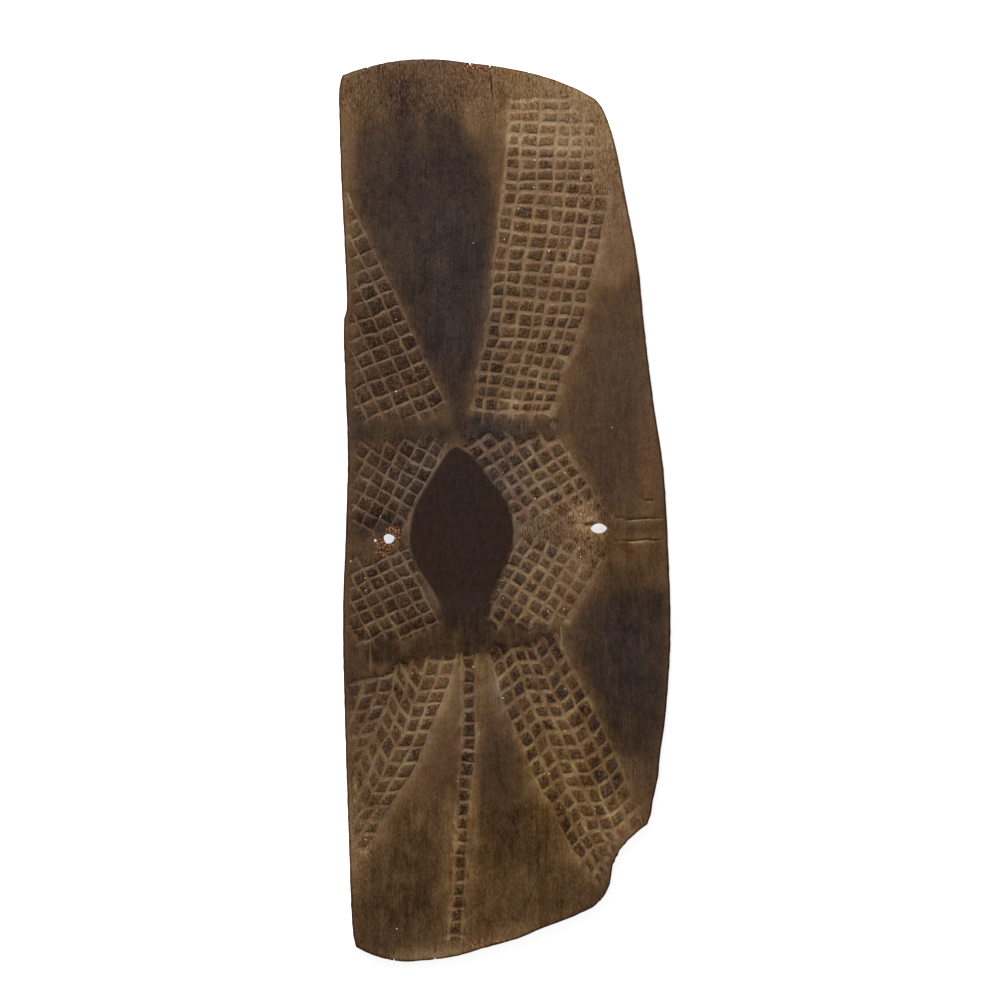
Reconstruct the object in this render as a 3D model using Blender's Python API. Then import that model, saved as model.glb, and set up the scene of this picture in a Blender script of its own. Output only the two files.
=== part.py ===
"""A carved wooden war shield: one tall plank, flat behind and gently crowned in front, cut with panels
of shallow V grooves that leave raised squares between them. It lies on its back with the carving up:
+X is the shield's right as seen from the front, +Y its top, and the origin is under its middle.
"""

import math

import bmesh
import bpy
from mathutils import Vector
from mathutils.geometry import delaunay_2d_cdt

# Driving dimensions, in metres.
LENGTH = 1.400
HALF_WIDTH = 0.258  # at the widest, below the middle
MIDDLE_THICKNESS = 0.0185
EDGE_THICKNESS = 0.0105
RIM_INSET = 0.004  # how far the rounded rim comes in at the front
BACK_INSET = 0.003  # and at the back
RIM_HEIGHT = 0.005  # height of the widest line of the rim
GROOVE_HALF_WIDTH = 0.0028
GROOVE_DEPTH = 0.0028
HAND_WANDER = 0.0011  # how far the hand-cut grooves stray from their straight lines
CLEAR_OF_EDGE = 0.006  # the nearest that the middle of a square comes to the rim or a hole
FULL_DEPTH_CLEAR = 0.014  # a groove that runs to the rim or a hole starts to rise here
RUN_OUT_CLEAR = 0.005  # its last crossing is no nearer than this
TIP_CLEAR = 0.003  # and its tip ends here
RUN_OUT_PARTS = 20  # how finely the tip's place is looked for along the groove
KEEP_LINE_FADE = 0.018  # the length over which grooves fade out past a panel's own limits
PLAIN_SPACING = 0.055  # spacing of the points that carry the crown across the plain wood
LEAST_SPACING = 0.016  # and how far they stay from the points of the carving
OUTLINE_STEP = 0.030  # spacing of the points along the smooth edges
SHARPEST_TURN = 0.7  # keeps the corners of the break from running far in when the outline is drawn in

# The intact edge, anticlockwise from above the break on the right round to the foot of the shield:
# each stretch is a smooth curve through its points.
RIGHT_EDGE_AND_TOP = [
    (0.241, -0.386), (0.252, -0.300), (0.258, -0.190), (0.255, -0.077), (0.247, 0.063),
    (0.231, 0.171), (0.217, 0.287), (0.207, 0.384), (0.186, 0.496), (0.171, 0.570),
    (0.151, 0.626), (0.123, 0.648), (0.077, 0.668), (0.021, 0.683), (-0.035, 0.692),
    (-0.110, 0.700), (-0.170, 0.697), (-0.220, 0.686), (-0.249, 0.677),
]
LEFT_EDGE = [
    (-0.249, 0.677), (-0.258, 0.640), (-0.256, 0.580), (-0.253, 0.496), (-0.245, 0.329),
    (-0.250, 0.279), (-0.244, 0.106), (-0.245, 0.016), (-0.251, -0.172), (-0.247, -0.358),
    (-0.242, -0.510), (-0.237, -0.641), (-0.231, -0.677),
]
FOOT_EDGE = [
    (-0.231, -0.677), (-0.202, -0.691), (-0.160, -0.700), (-0.110, -0.697), (-0.072, -0.691),
    (-0.035, -0.680), (0.021, -0.664), (0.061, -0.647),
]
# The lower right corner is broken away along a ragged line of short straight splits.
BROKEN_EDGE = [
    (0.061, -0.647), (0.100, -0.633), (0.138, -0.616), (0.154, -0.601), (0.165, -0.579),
    (0.169, -0.550), (0.179, -0.530), (0.191, -0.513), (0.211, -0.495), (0.222, -0.487),
    (0.227, -0.473), (0.231, -0.448), (0.239, -0.414), (0.241, -0.386),
]

# The two rope holes: middle, half width, half height.
HOLES = [
    (-0.179, -0.044, 0.0080, 0.0072),
    (0.146, -0.028, 0.0125, 0.0072),
]
HOLE_SIDES = 12

# A carved panel lies between two side lines. A side line is given by points (row, x, y), columns are
# fractions of the way across, and lift is how many rows each column line stands above its row.
# Each of the keep lines leaves the squares whose middle is on its left.
PANELS = {
    "upper_right": {
        "left": [
            (0, 0.007, 0.636), (8, -0.002, 0.494), (11, -0.009, 0.434), (13, -0.017, 0.391),
            (17, -0.022, 0.312), (19, -0.026, 0.271), (21, -0.038, 0.233), (25, -0.050, 0.158),
        ],
        "right": [
            (0, 0.168, 0.637), (8, 0.160, 0.487), (11, 0.149, 0.418), (15, 0.130, 0.340),
            (17, 0.121, 0.299), (19, 0.109, 0.259), (21, 0.090, 0.216), (25, 0.072, 0.151),
        ],
        "columns": (0, 0.13, 0.31, 0.475, 0.595, 0.73, 0.853, 1),
        "rows": 25,
        "first_row": (0, 0, 0, 0, 1, 2, 8),
    },
    "upper_left": {
        "left": [(0, -0.392, 0.407), (15, -0.236, 0.082)],
        "right": [(0, -0.236, 0.471), (7, -0.161, 0.319), (15, -0.083, 0.146)],
        "columns": 7,
        "rows": 15,
        "keep": [((-0.237, 0.151), (-0.081, 0.158))],
    },
    "middle_left_above": {
        "left": [(0, -0.214, 0.174), (11, -0.319, -0.036)],
        "right": [(0, -0.094, 0.098), (11, -0.199, -0.112)],
        "columns": 7,
        "rows": 11,
        "keep": [((-0.087, 0.103), (-0.237, 0.095)), ((-0.237, -0.023), (-0.146, -0.023))],
    },
    "middle_left_below": {
        "left": [(0, -0.297, -0.080), (10, -0.197, -0.258)],
        "right": [(0, -0.165, -0.019), (10, -0.064, -0.197)],
        "columns": 7,
        "rows": 10,
        "keep": [
            ((-0.143, -0.066), (-0.237, -0.086)),
            ((-0.237, -0.199), (-0.100, -0.182)),
            ((-0.104, -0.165), (-0.133, -0.0925)),
        ],
    },
    "middle_right_above": {
        "left": [(0, -0.058, 0.095), (10, 0.058, -0.080)],
        "right": [(0, 0.049, 0.162), (10, 0.165, -0.012)],
        "columns": 6,
        "rows": 10,
        "keep": [((0.081, 0.112), (-0.060, 0.104)), ((0.012, -0.020), (0.148, -0.004))],
    },
    "middle_right_below": {
        "left": [(0, 0.056, 0.011), (10, -0.052, -0.170)],
        "right": [(0, 0.178, -0.070), (10, 0.070, -0.251)],
        "columns": 7,
        "rows": 10,
        "keep": [
            ((0.152, -0.056), (0.012, -0.056)),
            ((0.0075, -0.053), (-0.0295, -0.162)),
            ((-0.032, -0.169), (0.095, -0.169)),
            ((0.095, -0.172), (0.149, -0.052)),
        ],
    },
    "lower_right": {
        "left": [
            (0, -0.029, -0.213), (1, -0.020, -0.234), (4, -0.003, -0.299), (7, 0.026, -0.364),
            (10, 0.052, -0.429), (11, 0.069, -0.451), (13, 0.087, -0.494), (15, 0.111, -0.538),
            (17, 0.149, -0.581),
        ],
        "right": [(0, 0.088, -0.213), (7, 0.165, -0.364), (11, 0.200, -0.451), (15, 0.228, -0.538)],
        "columns": (0, 0.16, 0.32, 0.50, 0.655, 0.83, 1),
        "lift": (-1.35, -0.68, -0.05, 0, 0, 0.75, 1.5),
        "rows": 15,
        "keep": [((0.101, -0.202), (-0.026, -0.234))],
    },
    "lower_left": {
        "left": [
            (0, -0.228, -0.233), (2, -0.241, -0.278), (5, -0.265, -0.344), (8, -0.300, -0.414),
            (12, -0.354, -0.505),
        ],
        "right": [
            (0, -0.077, -0.233), (2, -0.090, -0.278), (5, -0.114, -0.344), (8, -0.149, -0.414),
            (12, -0.203, -0.505),
        ],
        "columns": 7,
        "lift": (1.65, 1.65, 1.65, 1.65, 0.8, 0, 0, 0),
        "rows": 13,
        "keep": [((-0.077, -0.224), (-0.216, -0.267))],
    },
    "ladder": {
        "left": [(0, -0.063, -0.224), (7, -0.066, -0.370), (21, -0.087, -0.657)],
        "right": [(0, -0.046, -0.224), (7, -0.046, -0.370), (21, -0.063, -0.657)],
        "columns": 1,
        "rows": 21,
    },
}

WOOD_COLOUR = (0.095, 0.056, 0.034, 1.0)
WOOD_ROUGHNESS = 0.62


def clear_scene():
    for obj in list(bpy.data.objects):
        bpy.data.objects.remove(obj, do_unlink=True)


def smooth_through(points, step):
    """Points about a step apart on a smooth curve through the given ones, without the last."""
    spots = [Vector(p) for p in points]
    ends = [2 * spots[0] - spots[1]] + spots + [2 * spots[-1] - spots[-2]]
    found = []
    for before, start, end, after in zip(ends, ends[1:], ends[2:], ends[3:]):
        pieces = max(1, round((end - start).length / step))
        for k in range(pieces):
            t = k / pieces
            bend = (after - 3 * end + 3 * start - before) * t
            bend = (bend + 2 * before - 5 * start + 4 * end - after) * t
            found.append(start + 0.5 * t * (bend + end - before))
    return found


def board_outline():
    """The widest line of the rim, anticlockwise."""
    outline = []
    for edge in (RIGHT_EDGE_AND_TOP, LEFT_EDGE, FOOT_EDGE):
        outline += smooth_through(edge, OUTLINE_STEP)
    return outline + [Vector(p) for p in BROKEN_EDGE[:-1]]


def drawn_in(outline, amount):
    """The outline moved inwards."""
    found = []
    for before, here, after in zip(outline[-1:] + outline, outline, outline[1:] + outline[:1]):
        first = (here - before).normalized()
        second = (after - here).normalized()
        inward = Vector((-first.y - second.y, first.x + second.x)).normalized()
        turn = max(SHARPEST_TURN, inward.dot(Vector((-first.y, first.x))))
        found.append(here + inward * (amount / turn))
    return found


def hole_outline(x, y, half_width, half_height):
    turns = [math.tau * k / HOLE_SIDES for k in range(HOLE_SIDES)]
    return [Vector((x + half_width * math.cos(a), y + half_height * math.sin(a))) for a in turns]


def front_height(x, y):
    """Height of the plain front above the flat back: the board thins towards every edge."""
    across = abs(x) / HALF_WIDTH
    along = abs(y) / (LENGTH / 2)
    thinned = min(1.0, across**2.5 + along**6)
    return MIDDLE_THICKNESS - (MIDDLE_THICKNESS - EDGE_THICKNESS) * thinned


def distance_to_loop(point, loop):
    nearest = math.inf
    for start, end in zip(loop, loop[1:] + loop[:1]):
        run = end - start
        t = max(0.0, min(1.0, (point - start).dot(run) / run.length_squared))
        nearest = min(nearest, (start + run * t - point).length)
    return nearest


def is_within(point, loop):
    inside = False
    for start, end in zip(loop, loop[1:] + loop[:1]):
        if (start.y > point.y) != (end.y > point.y):
            cross_x = start.x + (point.y - start.y) * (end.x - start.x) / (end.y - start.y)
            inside ^= point.x < cross_x
    return inside


def hand_stray(x, y):
    """The unevenness of cutting by hand: every groove wanders slowly from its straight line."""
    along = math.sin(61 * x + 23 * y + 0.4) + 0.7 * math.sin(118 * y - 47 * x + 1.9)
    across = math.sin(53 * y - 31 * x + 2.6) + 0.7 * math.sin(127 * x + 39 * y + 0.8)
    return HAND_WANDER * Vector((along, across))


def clear_distance(point, loops):
    """How far a point is inside the board, away from its rim and its holes."""
    if not is_within(point, loops[0]) or any(is_within(point, hole) for hole in loops[1:]):
        return -1.0
    return min(distance_to_loop(point, loop) for loop in loops)


def stepped(values, at):
    """A value between the entries of a list, running straight on past its ends."""
    k = max(0, min(len(values) - 2, math.floor(at)))
    return values[k] + (values[k + 1] - values[k]) * (at - k)


def side_point(side, row):
    """The point of a side line at a row."""
    k = 1
    while k < len(side) - 1 and side[k][0] < row:
        k += 1
    (row_a, xa, ya), (row_b, xb, yb) = side[k - 1], side[k]
    return Vector((xa, ya)).lerp(Vector((xb, yb)), (row - row_a) / (row_b - row_a))


class Panel:
    """One carved panel: a net of grooves, its lines numbered by column and row."""

    def __init__(self, left, right, columns, rows, lift=None, keep=(), first_row=None):
        if isinstance(columns, int):
            columns = [k / columns for k in range(columns + 1)]
        self.left, self.right, self.columns, self.rows = left, right, columns, rows
        self.lift = lift or [0] * len(columns)
        self.keep = [(Vector(a), Vector(b)) for a, b in keep]
        self.first_row = first_row or [0] * (len(columns) - 1)

    def place(self, column, row):
        row = row - stepped(self.lift, column)
        across = stepped(self.columns, column)
        spot = side_point(self.left, row).lerp(side_point(self.right, row), across)
        return spot + hand_stray(*spot)

    def margin(self, spot):
        """How far a spot is inside the keep lines."""
        found = math.inf
        for start, end in self.keep:
            run = (end - start).normalized()
            found = min(found, run.cross(spot - start))
        return found

    def shoulder_corners(self, column, row):
        """The four corners of plain wood round a crossing, by their side of it."""
        across = self.place(column + 0.5, row) - self.place(column - 0.5, row)
        down = self.place(column, row + 0.5) - self.place(column, row - 0.5)
        skew = abs(across.cross(down)) / (across.length * down.length)
        wide = GROOVE_HALF_WIDTH / (across.length * skew)
        high = GROOVE_HALF_WIDTH / (down.length * skew)
        sides = [(right, below) for right in (-1, 1) for below in (-1, 1)]
        return {(a, b): self.place(column + a * wide, row + b * high) for a, b in sides}

    def run_out(self, start, end, loops):
        """Where a groove that leaves the wood between two crossings rises to the surface."""
        for k in range(RUN_OUT_PARTS, 0, -1):
            t = k / RUN_OUT_PARTS
            spot = self.place(*(a + (b - a) * t for a, b in zip(start, end)))
            if clear_distance(spot, loops) >= TIP_CLEAR:
                return spot
        return self.place(*start)

    def squares(self, loops):
        """The (column, row) of each raised square that the panel keeps."""
        for column in range(len(self.columns) - 1):
            for row in range(self.first_row[column], self.rows):
                middle = self.place(column + 0.5, row + 0.5)
                if clear_distance(middle, loops) > CLEAR_OF_EDGE and self.margin(middle) > 0:
                    yield column, row


class FrontNet:
    """The points and lines that the front is made of, each point with the depth of its groove."""

    def __init__(self):
        self.points, self.depths, self.lines = [], [], []

    def add(self, spot, depth=0.0):
        self.points.append(spot)
        self.depths.append(depth)
        return len(self.points) - 1

    def loop(self, spots):
        found = [self.add(spot) for spot in spots]
        self.lines += list(zip(found, found[1:] + found[:1]))

    def carve(self, panel, loops):
        """The grooves of one panel: floor lines, and a shoulder line on each side of them."""
        grooves = set()
        for column, row in panel.squares(loops):
            grooves |= {((column, row + k), (column + 1, row + k)) for k in (0, 1)}
            grooves |= {((column + k, row), (column + k, row + 1)) for k in (0, 1)}
        floor, shoulders = {}, {}
        for crossing in sorted({end for groove in grooves for end in groove}):
            spot = panel.place(*crossing)
            clear = clear_distance(spot, loops)
            if clear < RUN_OUT_CLEAR:
                continue
            from_edge = (clear - RUN_OUT_CLEAR) / (FULL_DEPTH_CLEAR - RUN_OUT_CLEAR)
            from_limit = 1.0 + panel.margin(spot) / KEEP_LINE_FADE
            depth = GROOVE_DEPTH * max(0.0, min(from_edge, from_limit, 1.0))
            floor[crossing] = self.add(spot, depth)
            if clear > RUN_OUT_CLEAR + GROOVE_HALF_WIDTH and depth > 0:
                for side, corner in panel.shoulder_corners(*crossing).items():
                    shoulders[crossing + side] = self.add(corner)
        for column, row in floor:
            if (column, row, 1, 1) not in shoulders:
                continue
            for step in ((1, 0), (-1, 0), (0, 1), (0, -1)):
                other = (column + step[0], row + step[1])
                carved = ((column, row), other) in grooves or (other, (column, row)) in grooves
                sides = [(step[0] or side, step[1] or side) for side in (-1, 1)]
                near = [shoulders[(column, row) + side] for side in sides]
                if not carved:
                    self.lines.append(tuple(near))
                elif other + (1, 1) in shoulders:
                    if step in ((1, 0), (0, 1)):
                        far = [(-a if step[0] else a, -b if step[1] else b) for a, b in sides]
                        self.lines.append((floor[column, row], floor[other]))
                        self.lines += [(n, shoulders[other + f]) for n, f in zip(near, far)]
                else:
                    tip = floor.get(other)
                    if tip is None:
                        tip = self.add(panel.run_out((column, row), other, loops))
                    self.lines += [(start, tip) for start in near + [floor[column, row]]]

    def fill_plain(self, loops):
        """Sparse points over the uncarved wood."""
        across = math.ceil(HALF_WIDTH / PLAIN_SPACING)
        along = math.ceil(LENGTH / 2 / PLAIN_SPACING)
        for a in range(-across, across + 1):
            for b in range(-along, along + 1):
                spot = Vector((a + 0.5 * (b % 2), b)) * PLAIN_SPACING
                if not is_within(spot, loops[0]):
                    continue
                nearest = min((spot - other).length for other in self.points)
                if nearest > LEAST_SPACING:
                    self.add(spot)


def build_front(bm, loops):
    """The carved front: the net turned to triangles, each point at its height."""
    net = FrontNet()
    for loop in loops:
        net.loop(loop)
    for sizes in PANELS.values():
        net.carve(Panel(**sizes), loops)
    net.fill_plain(loops)
    spots, _, faces, sources, _, _ = delaunay_2d_cdt(net.points, net.lines, [], 1, 1e-6)
    corners = []
    for spot, source in zip(spots, sources):
        depth = max((net.depths[k] for k in source), default=0.0)
        corners.append(bm.verts.new((spot.x, spot.y, front_height(spot.x, spot.y) - depth)))
    for face in faces:
        middle = sum((Vector(spots[k]) for k in face), Vector((0, 0))) / 3
        if not any(is_within(middle, hole) for hole in loops[1:]):
            bm.faces.new([corners[k] for k in face])


def build_board():
    """The whole board: the carved front, a rounded rim, walls through the holes and a flat back."""
    outline = board_outline()
    front = drawn_in(outline, RIM_INSET)
    back = drawn_in(outline, BACK_INSET)
    holes = [hole_outline(*sizes) for sizes in HOLES]
    bm = bmesh.new()
    build_front(bm, [front] + holes)
    where = {(round(p.x, 5), round(p.y, 5)): k for k, p in enumerate(front)}
    for level, ring in ((RIM_HEIGHT, outline), (0.0, back)):
        open_edges = [e for e in bm.edges if e.is_boundary]
        made = bmesh.ops.extrude_edge_only(bm, edges=open_edges)["geom"]
        moved = {}
        for vert in (v for v in made if isinstance(v, bmesh.types.BMVert)):
            k = where.get((round(vert.co.x, 5), round(vert.co.y, 5)))
            vert.co.z = level
            if k is not None:
                vert.co.xy = ring[k]
                moved[round(vert.co.x, 5), round(vert.co.y, 5)] = k
        where = moved
    open_edges = [e for e in bm.edges if e.is_boundary]
    bmesh.ops.triangle_fill(bm, edges=open_edges, use_beauty=True, normal=(0, 0, -1))
    bmesh.ops.recalc_face_normals(bm, faces=bm.faces)
    mesh = bpy.data.meshes.new("shield_board")
    bm.to_mesh(mesh)
    bm.free()
    return bpy.data.objects.new("shield_board", mesh)


def wood_material():
    material = bpy.data.materials.new("old_carved_wood")
    material.use_nodes = True
    shader = material.node_tree.nodes["Principled BSDF"]
    shader.inputs["Base Color"].default_value = WOOD_COLOUR
    shader.inputs["Roughness"].default_value = WOOD_ROUGHNESS
    shader.inputs["Metallic"].default_value = 0.0
    return material


clear_scene()
shield = bpy.data.collections.new("carved_war_shield")
bpy.context.scene.collection.children.link(shield)
board = build_board()
board.data.materials.append(wood_material())
shield.objects.link(board)
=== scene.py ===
import math

import bmesh
import bpy
import numpy as np
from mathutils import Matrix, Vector
from mathutils.geometry import delaunay_2d_cdt


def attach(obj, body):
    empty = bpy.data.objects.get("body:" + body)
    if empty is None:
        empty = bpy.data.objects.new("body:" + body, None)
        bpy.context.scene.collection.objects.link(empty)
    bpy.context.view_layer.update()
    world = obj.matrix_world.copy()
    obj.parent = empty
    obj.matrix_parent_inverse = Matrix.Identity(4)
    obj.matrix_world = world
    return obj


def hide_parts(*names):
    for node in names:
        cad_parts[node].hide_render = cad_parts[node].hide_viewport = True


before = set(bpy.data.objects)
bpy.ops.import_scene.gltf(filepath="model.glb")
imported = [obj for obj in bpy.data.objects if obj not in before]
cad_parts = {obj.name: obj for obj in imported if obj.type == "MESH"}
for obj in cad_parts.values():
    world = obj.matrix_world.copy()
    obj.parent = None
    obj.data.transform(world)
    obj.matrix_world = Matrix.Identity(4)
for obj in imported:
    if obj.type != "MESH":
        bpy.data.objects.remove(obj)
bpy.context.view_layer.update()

# The plank's edge. One hardwood plank, split and adzed to shape, is gently bowed down both sides,
# rounded at the shoulders and worn soft all round. Its lower right corner is broken away.
EDGE_SPACING = 0.014
RIGHT_EDGE_AND_TOP = [
    (0.241, -0.386), (0.252, -0.300), (0.258, -0.190), (0.255, -0.077), (0.247, 0.063),
    (0.231, 0.171), (0.217, 0.287), (0.207, 0.384), (0.186, 0.496), (0.171, 0.570),
    (0.151, 0.626), (0.123, 0.648), (0.077, 0.668), (0.021, 0.683), (-0.035, 0.692),
    (-0.110, 0.700), (-0.170, 0.697), (-0.220, 0.686), (-0.2515, 0.6755),
]
LEFT_EDGE = [
    (-0.2515, 0.6755), (-0.2570, 0.652), (-0.256, 0.580), (-0.253, 0.496), (-0.245, 0.329),
    (-0.250, 0.279), (-0.244, 0.106), (-0.245, 0.016), (-0.251, -0.172), (-0.247, -0.358),
    (-0.242, -0.510), (-0.237, -0.641), (-0.231, -0.677),
]
FOOT_EDGE = [
    (-0.231, -0.677), (-0.202, -0.691), (-0.160, -0.700), (-0.110, -0.697), (-0.072, -0.691),
    (-0.035, -0.680), (0.021, -0.664), (0.061, -0.647),
]
BROKEN_EDGE = [
    (0.061, -0.647), (0.100, -0.633), (0.138, -0.616), (0.154, -0.601), (0.165, -0.579),
    (0.169, -0.550), (0.179, -0.530), (0.191, -0.513), (0.211, -0.495), (0.222, -0.487),
    (0.227, -0.473), (0.231, -0.448), (0.239, -0.414), (0.241, -0.386),
]
# Splits that start in the edge: x, whether at the top, how far they open the edge, and their way inwards.
EDGE_SPLITS = [
    (-0.2125, True, 0.0030, [(-0.2125, 0.6790), (-0.2126, 0.6760)]),
    (-0.1890, True, 0.0012, [(-0.1888, 0.6850), (-0.1880, 0.6700)]),
    (-0.1230, True, 0.0012, [(-0.1230, 0.6920), (-0.1229, 0.6840)]),
    (-0.0534, True, 0.0055, [(-0.0532, 0.6780), (-0.0530, 0.6720)]),
    (-0.0224, True, 0.0050, [(-0.0215, 0.6730), (-0.0190, 0.6470), (-0.0166, 0.6260)]),
    (0.0380, True, 0.0020, [(0.0382, 0.6680), (0.0383, 0.6600)]),
    (-0.1075, False, 0.0040, [(-0.1072, -0.6820), (-0.1070, -0.6740)]),
    (-0.1716, False, 0.0040, [(-0.1712, -0.6840), (-0.1710, -0.6770)]),
]
SPLIT_HALF_WIDTH = 0.0009
SHARPEST_TURN = 0.7


def smooth_through(points, step):
    """Points about a step apart on a smooth curve through the given ones, without the last."""
    spots = [Vector(p) for p in points]
    ends = [2 * spots[0] - spots[1]] + spots + [2 * spots[-1] - spots[-2]]
    found = []
    for before, start, end, after in zip(ends, ends[1:], ends[2:], ends[3:]):
        pieces = max(1, round((end - start).length / step))
        for k in range(pieces):
            t = k / pieces
            bend = (after - 3 * end + 3 * start - before) * t
            bend = (bend + 2 * before - 5 * start + 4 * end - after) * t
            found.append(start + 0.5 * t * (bend + end - before))
    return found


def split_edge():
    """The plank's outline, anticlockwise, and how far each of its points is drawn in by a split."""
    outline = []
    for edge in (RIGHT_EDGE_AND_TOP, LEFT_EDGE, FOOT_EDGE):
        outline += smooth_through(edge, EDGE_SPACING)
    for start, end in zip(BROKEN_EDGE, BROKEN_EDGE[1:]):
        start, end = Vector(start), Vector(end)
        pieces = max(1, round((end - start).length / EDGE_SPACING))
        outline += [start.lerp(end, k / pieces) for k in range(pieces)]
    notches = [0.0] * len(outline)
    for x, at_top, opening, _ in EDGE_SPLITS:
        for k, (start, end) in enumerate(zip(outline, outline[1:])):
            if (start.y > 0) == at_top and (start.x - x) * (end.x - x) <= 0 and abs(start.y) > 0.6:
                t = (x - start.x) / (end.x - start.x)
                gap = SPLIT_HALF_WIDTH / (end - start).length
                outline[k + 1:k + 1] = [start.lerp(end, t + gap * side) for side in (-1, 0, 1)]
                notches[k + 1:k + 1] = [0.0, opening, 0.0]
                break
    return outline, notches


def inward_directions(loop):
    """At each point of an anticlockwise loop, the step inwards that moves its sides in by one."""
    found = []
    for before, here, after in zip(loop[-1:] + loop, loop, loop[1:] + loop[:1]):
        first = (here - before).normalized()
        second = (after - here).normalized()
        inward = Vector((-first.y - second.y, first.x + second.x)).normalized()
        found.append(inward / max(SHARPEST_TURN, inward.dot(Vector((-first.y, first.x)))))
    return found


# The holes. A round one and an eye-shaped one were cut through for the carrying cord, with a small
# wormhole beside the first. Each is given by its middle, half width, half height and corners.
ROUND_HOLE = (-0.179, -0.044, 0.0080, 0.0072)
EYE_HOLE = (0.146, -0.028, 0.0125, 0.0072)
WORMHOLE = (-0.2003, -0.0467, 0.0017, 0.0017)


def hole_loop(x, y, half_width, half_height, corners, pointed=1.0, wavy=0.0):
    """A hole's outline, clockwise, so that the wood is on its left as it is inside the plank's edge."""
    loop = []
    for k in range(corners):
        turn = -math.tau * k / corners
        reach = 1 + wavy * (math.sin(3 * turn + 1.0) + 0.6 * math.sin(5 * turn))
        rise = math.copysign(abs(math.sin(turn)) ** pointed, math.sin(turn))
        loop.append(Vector((x + half_width * reach * math.cos(turn), y + half_height * reach * rise)))
    return loop


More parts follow.
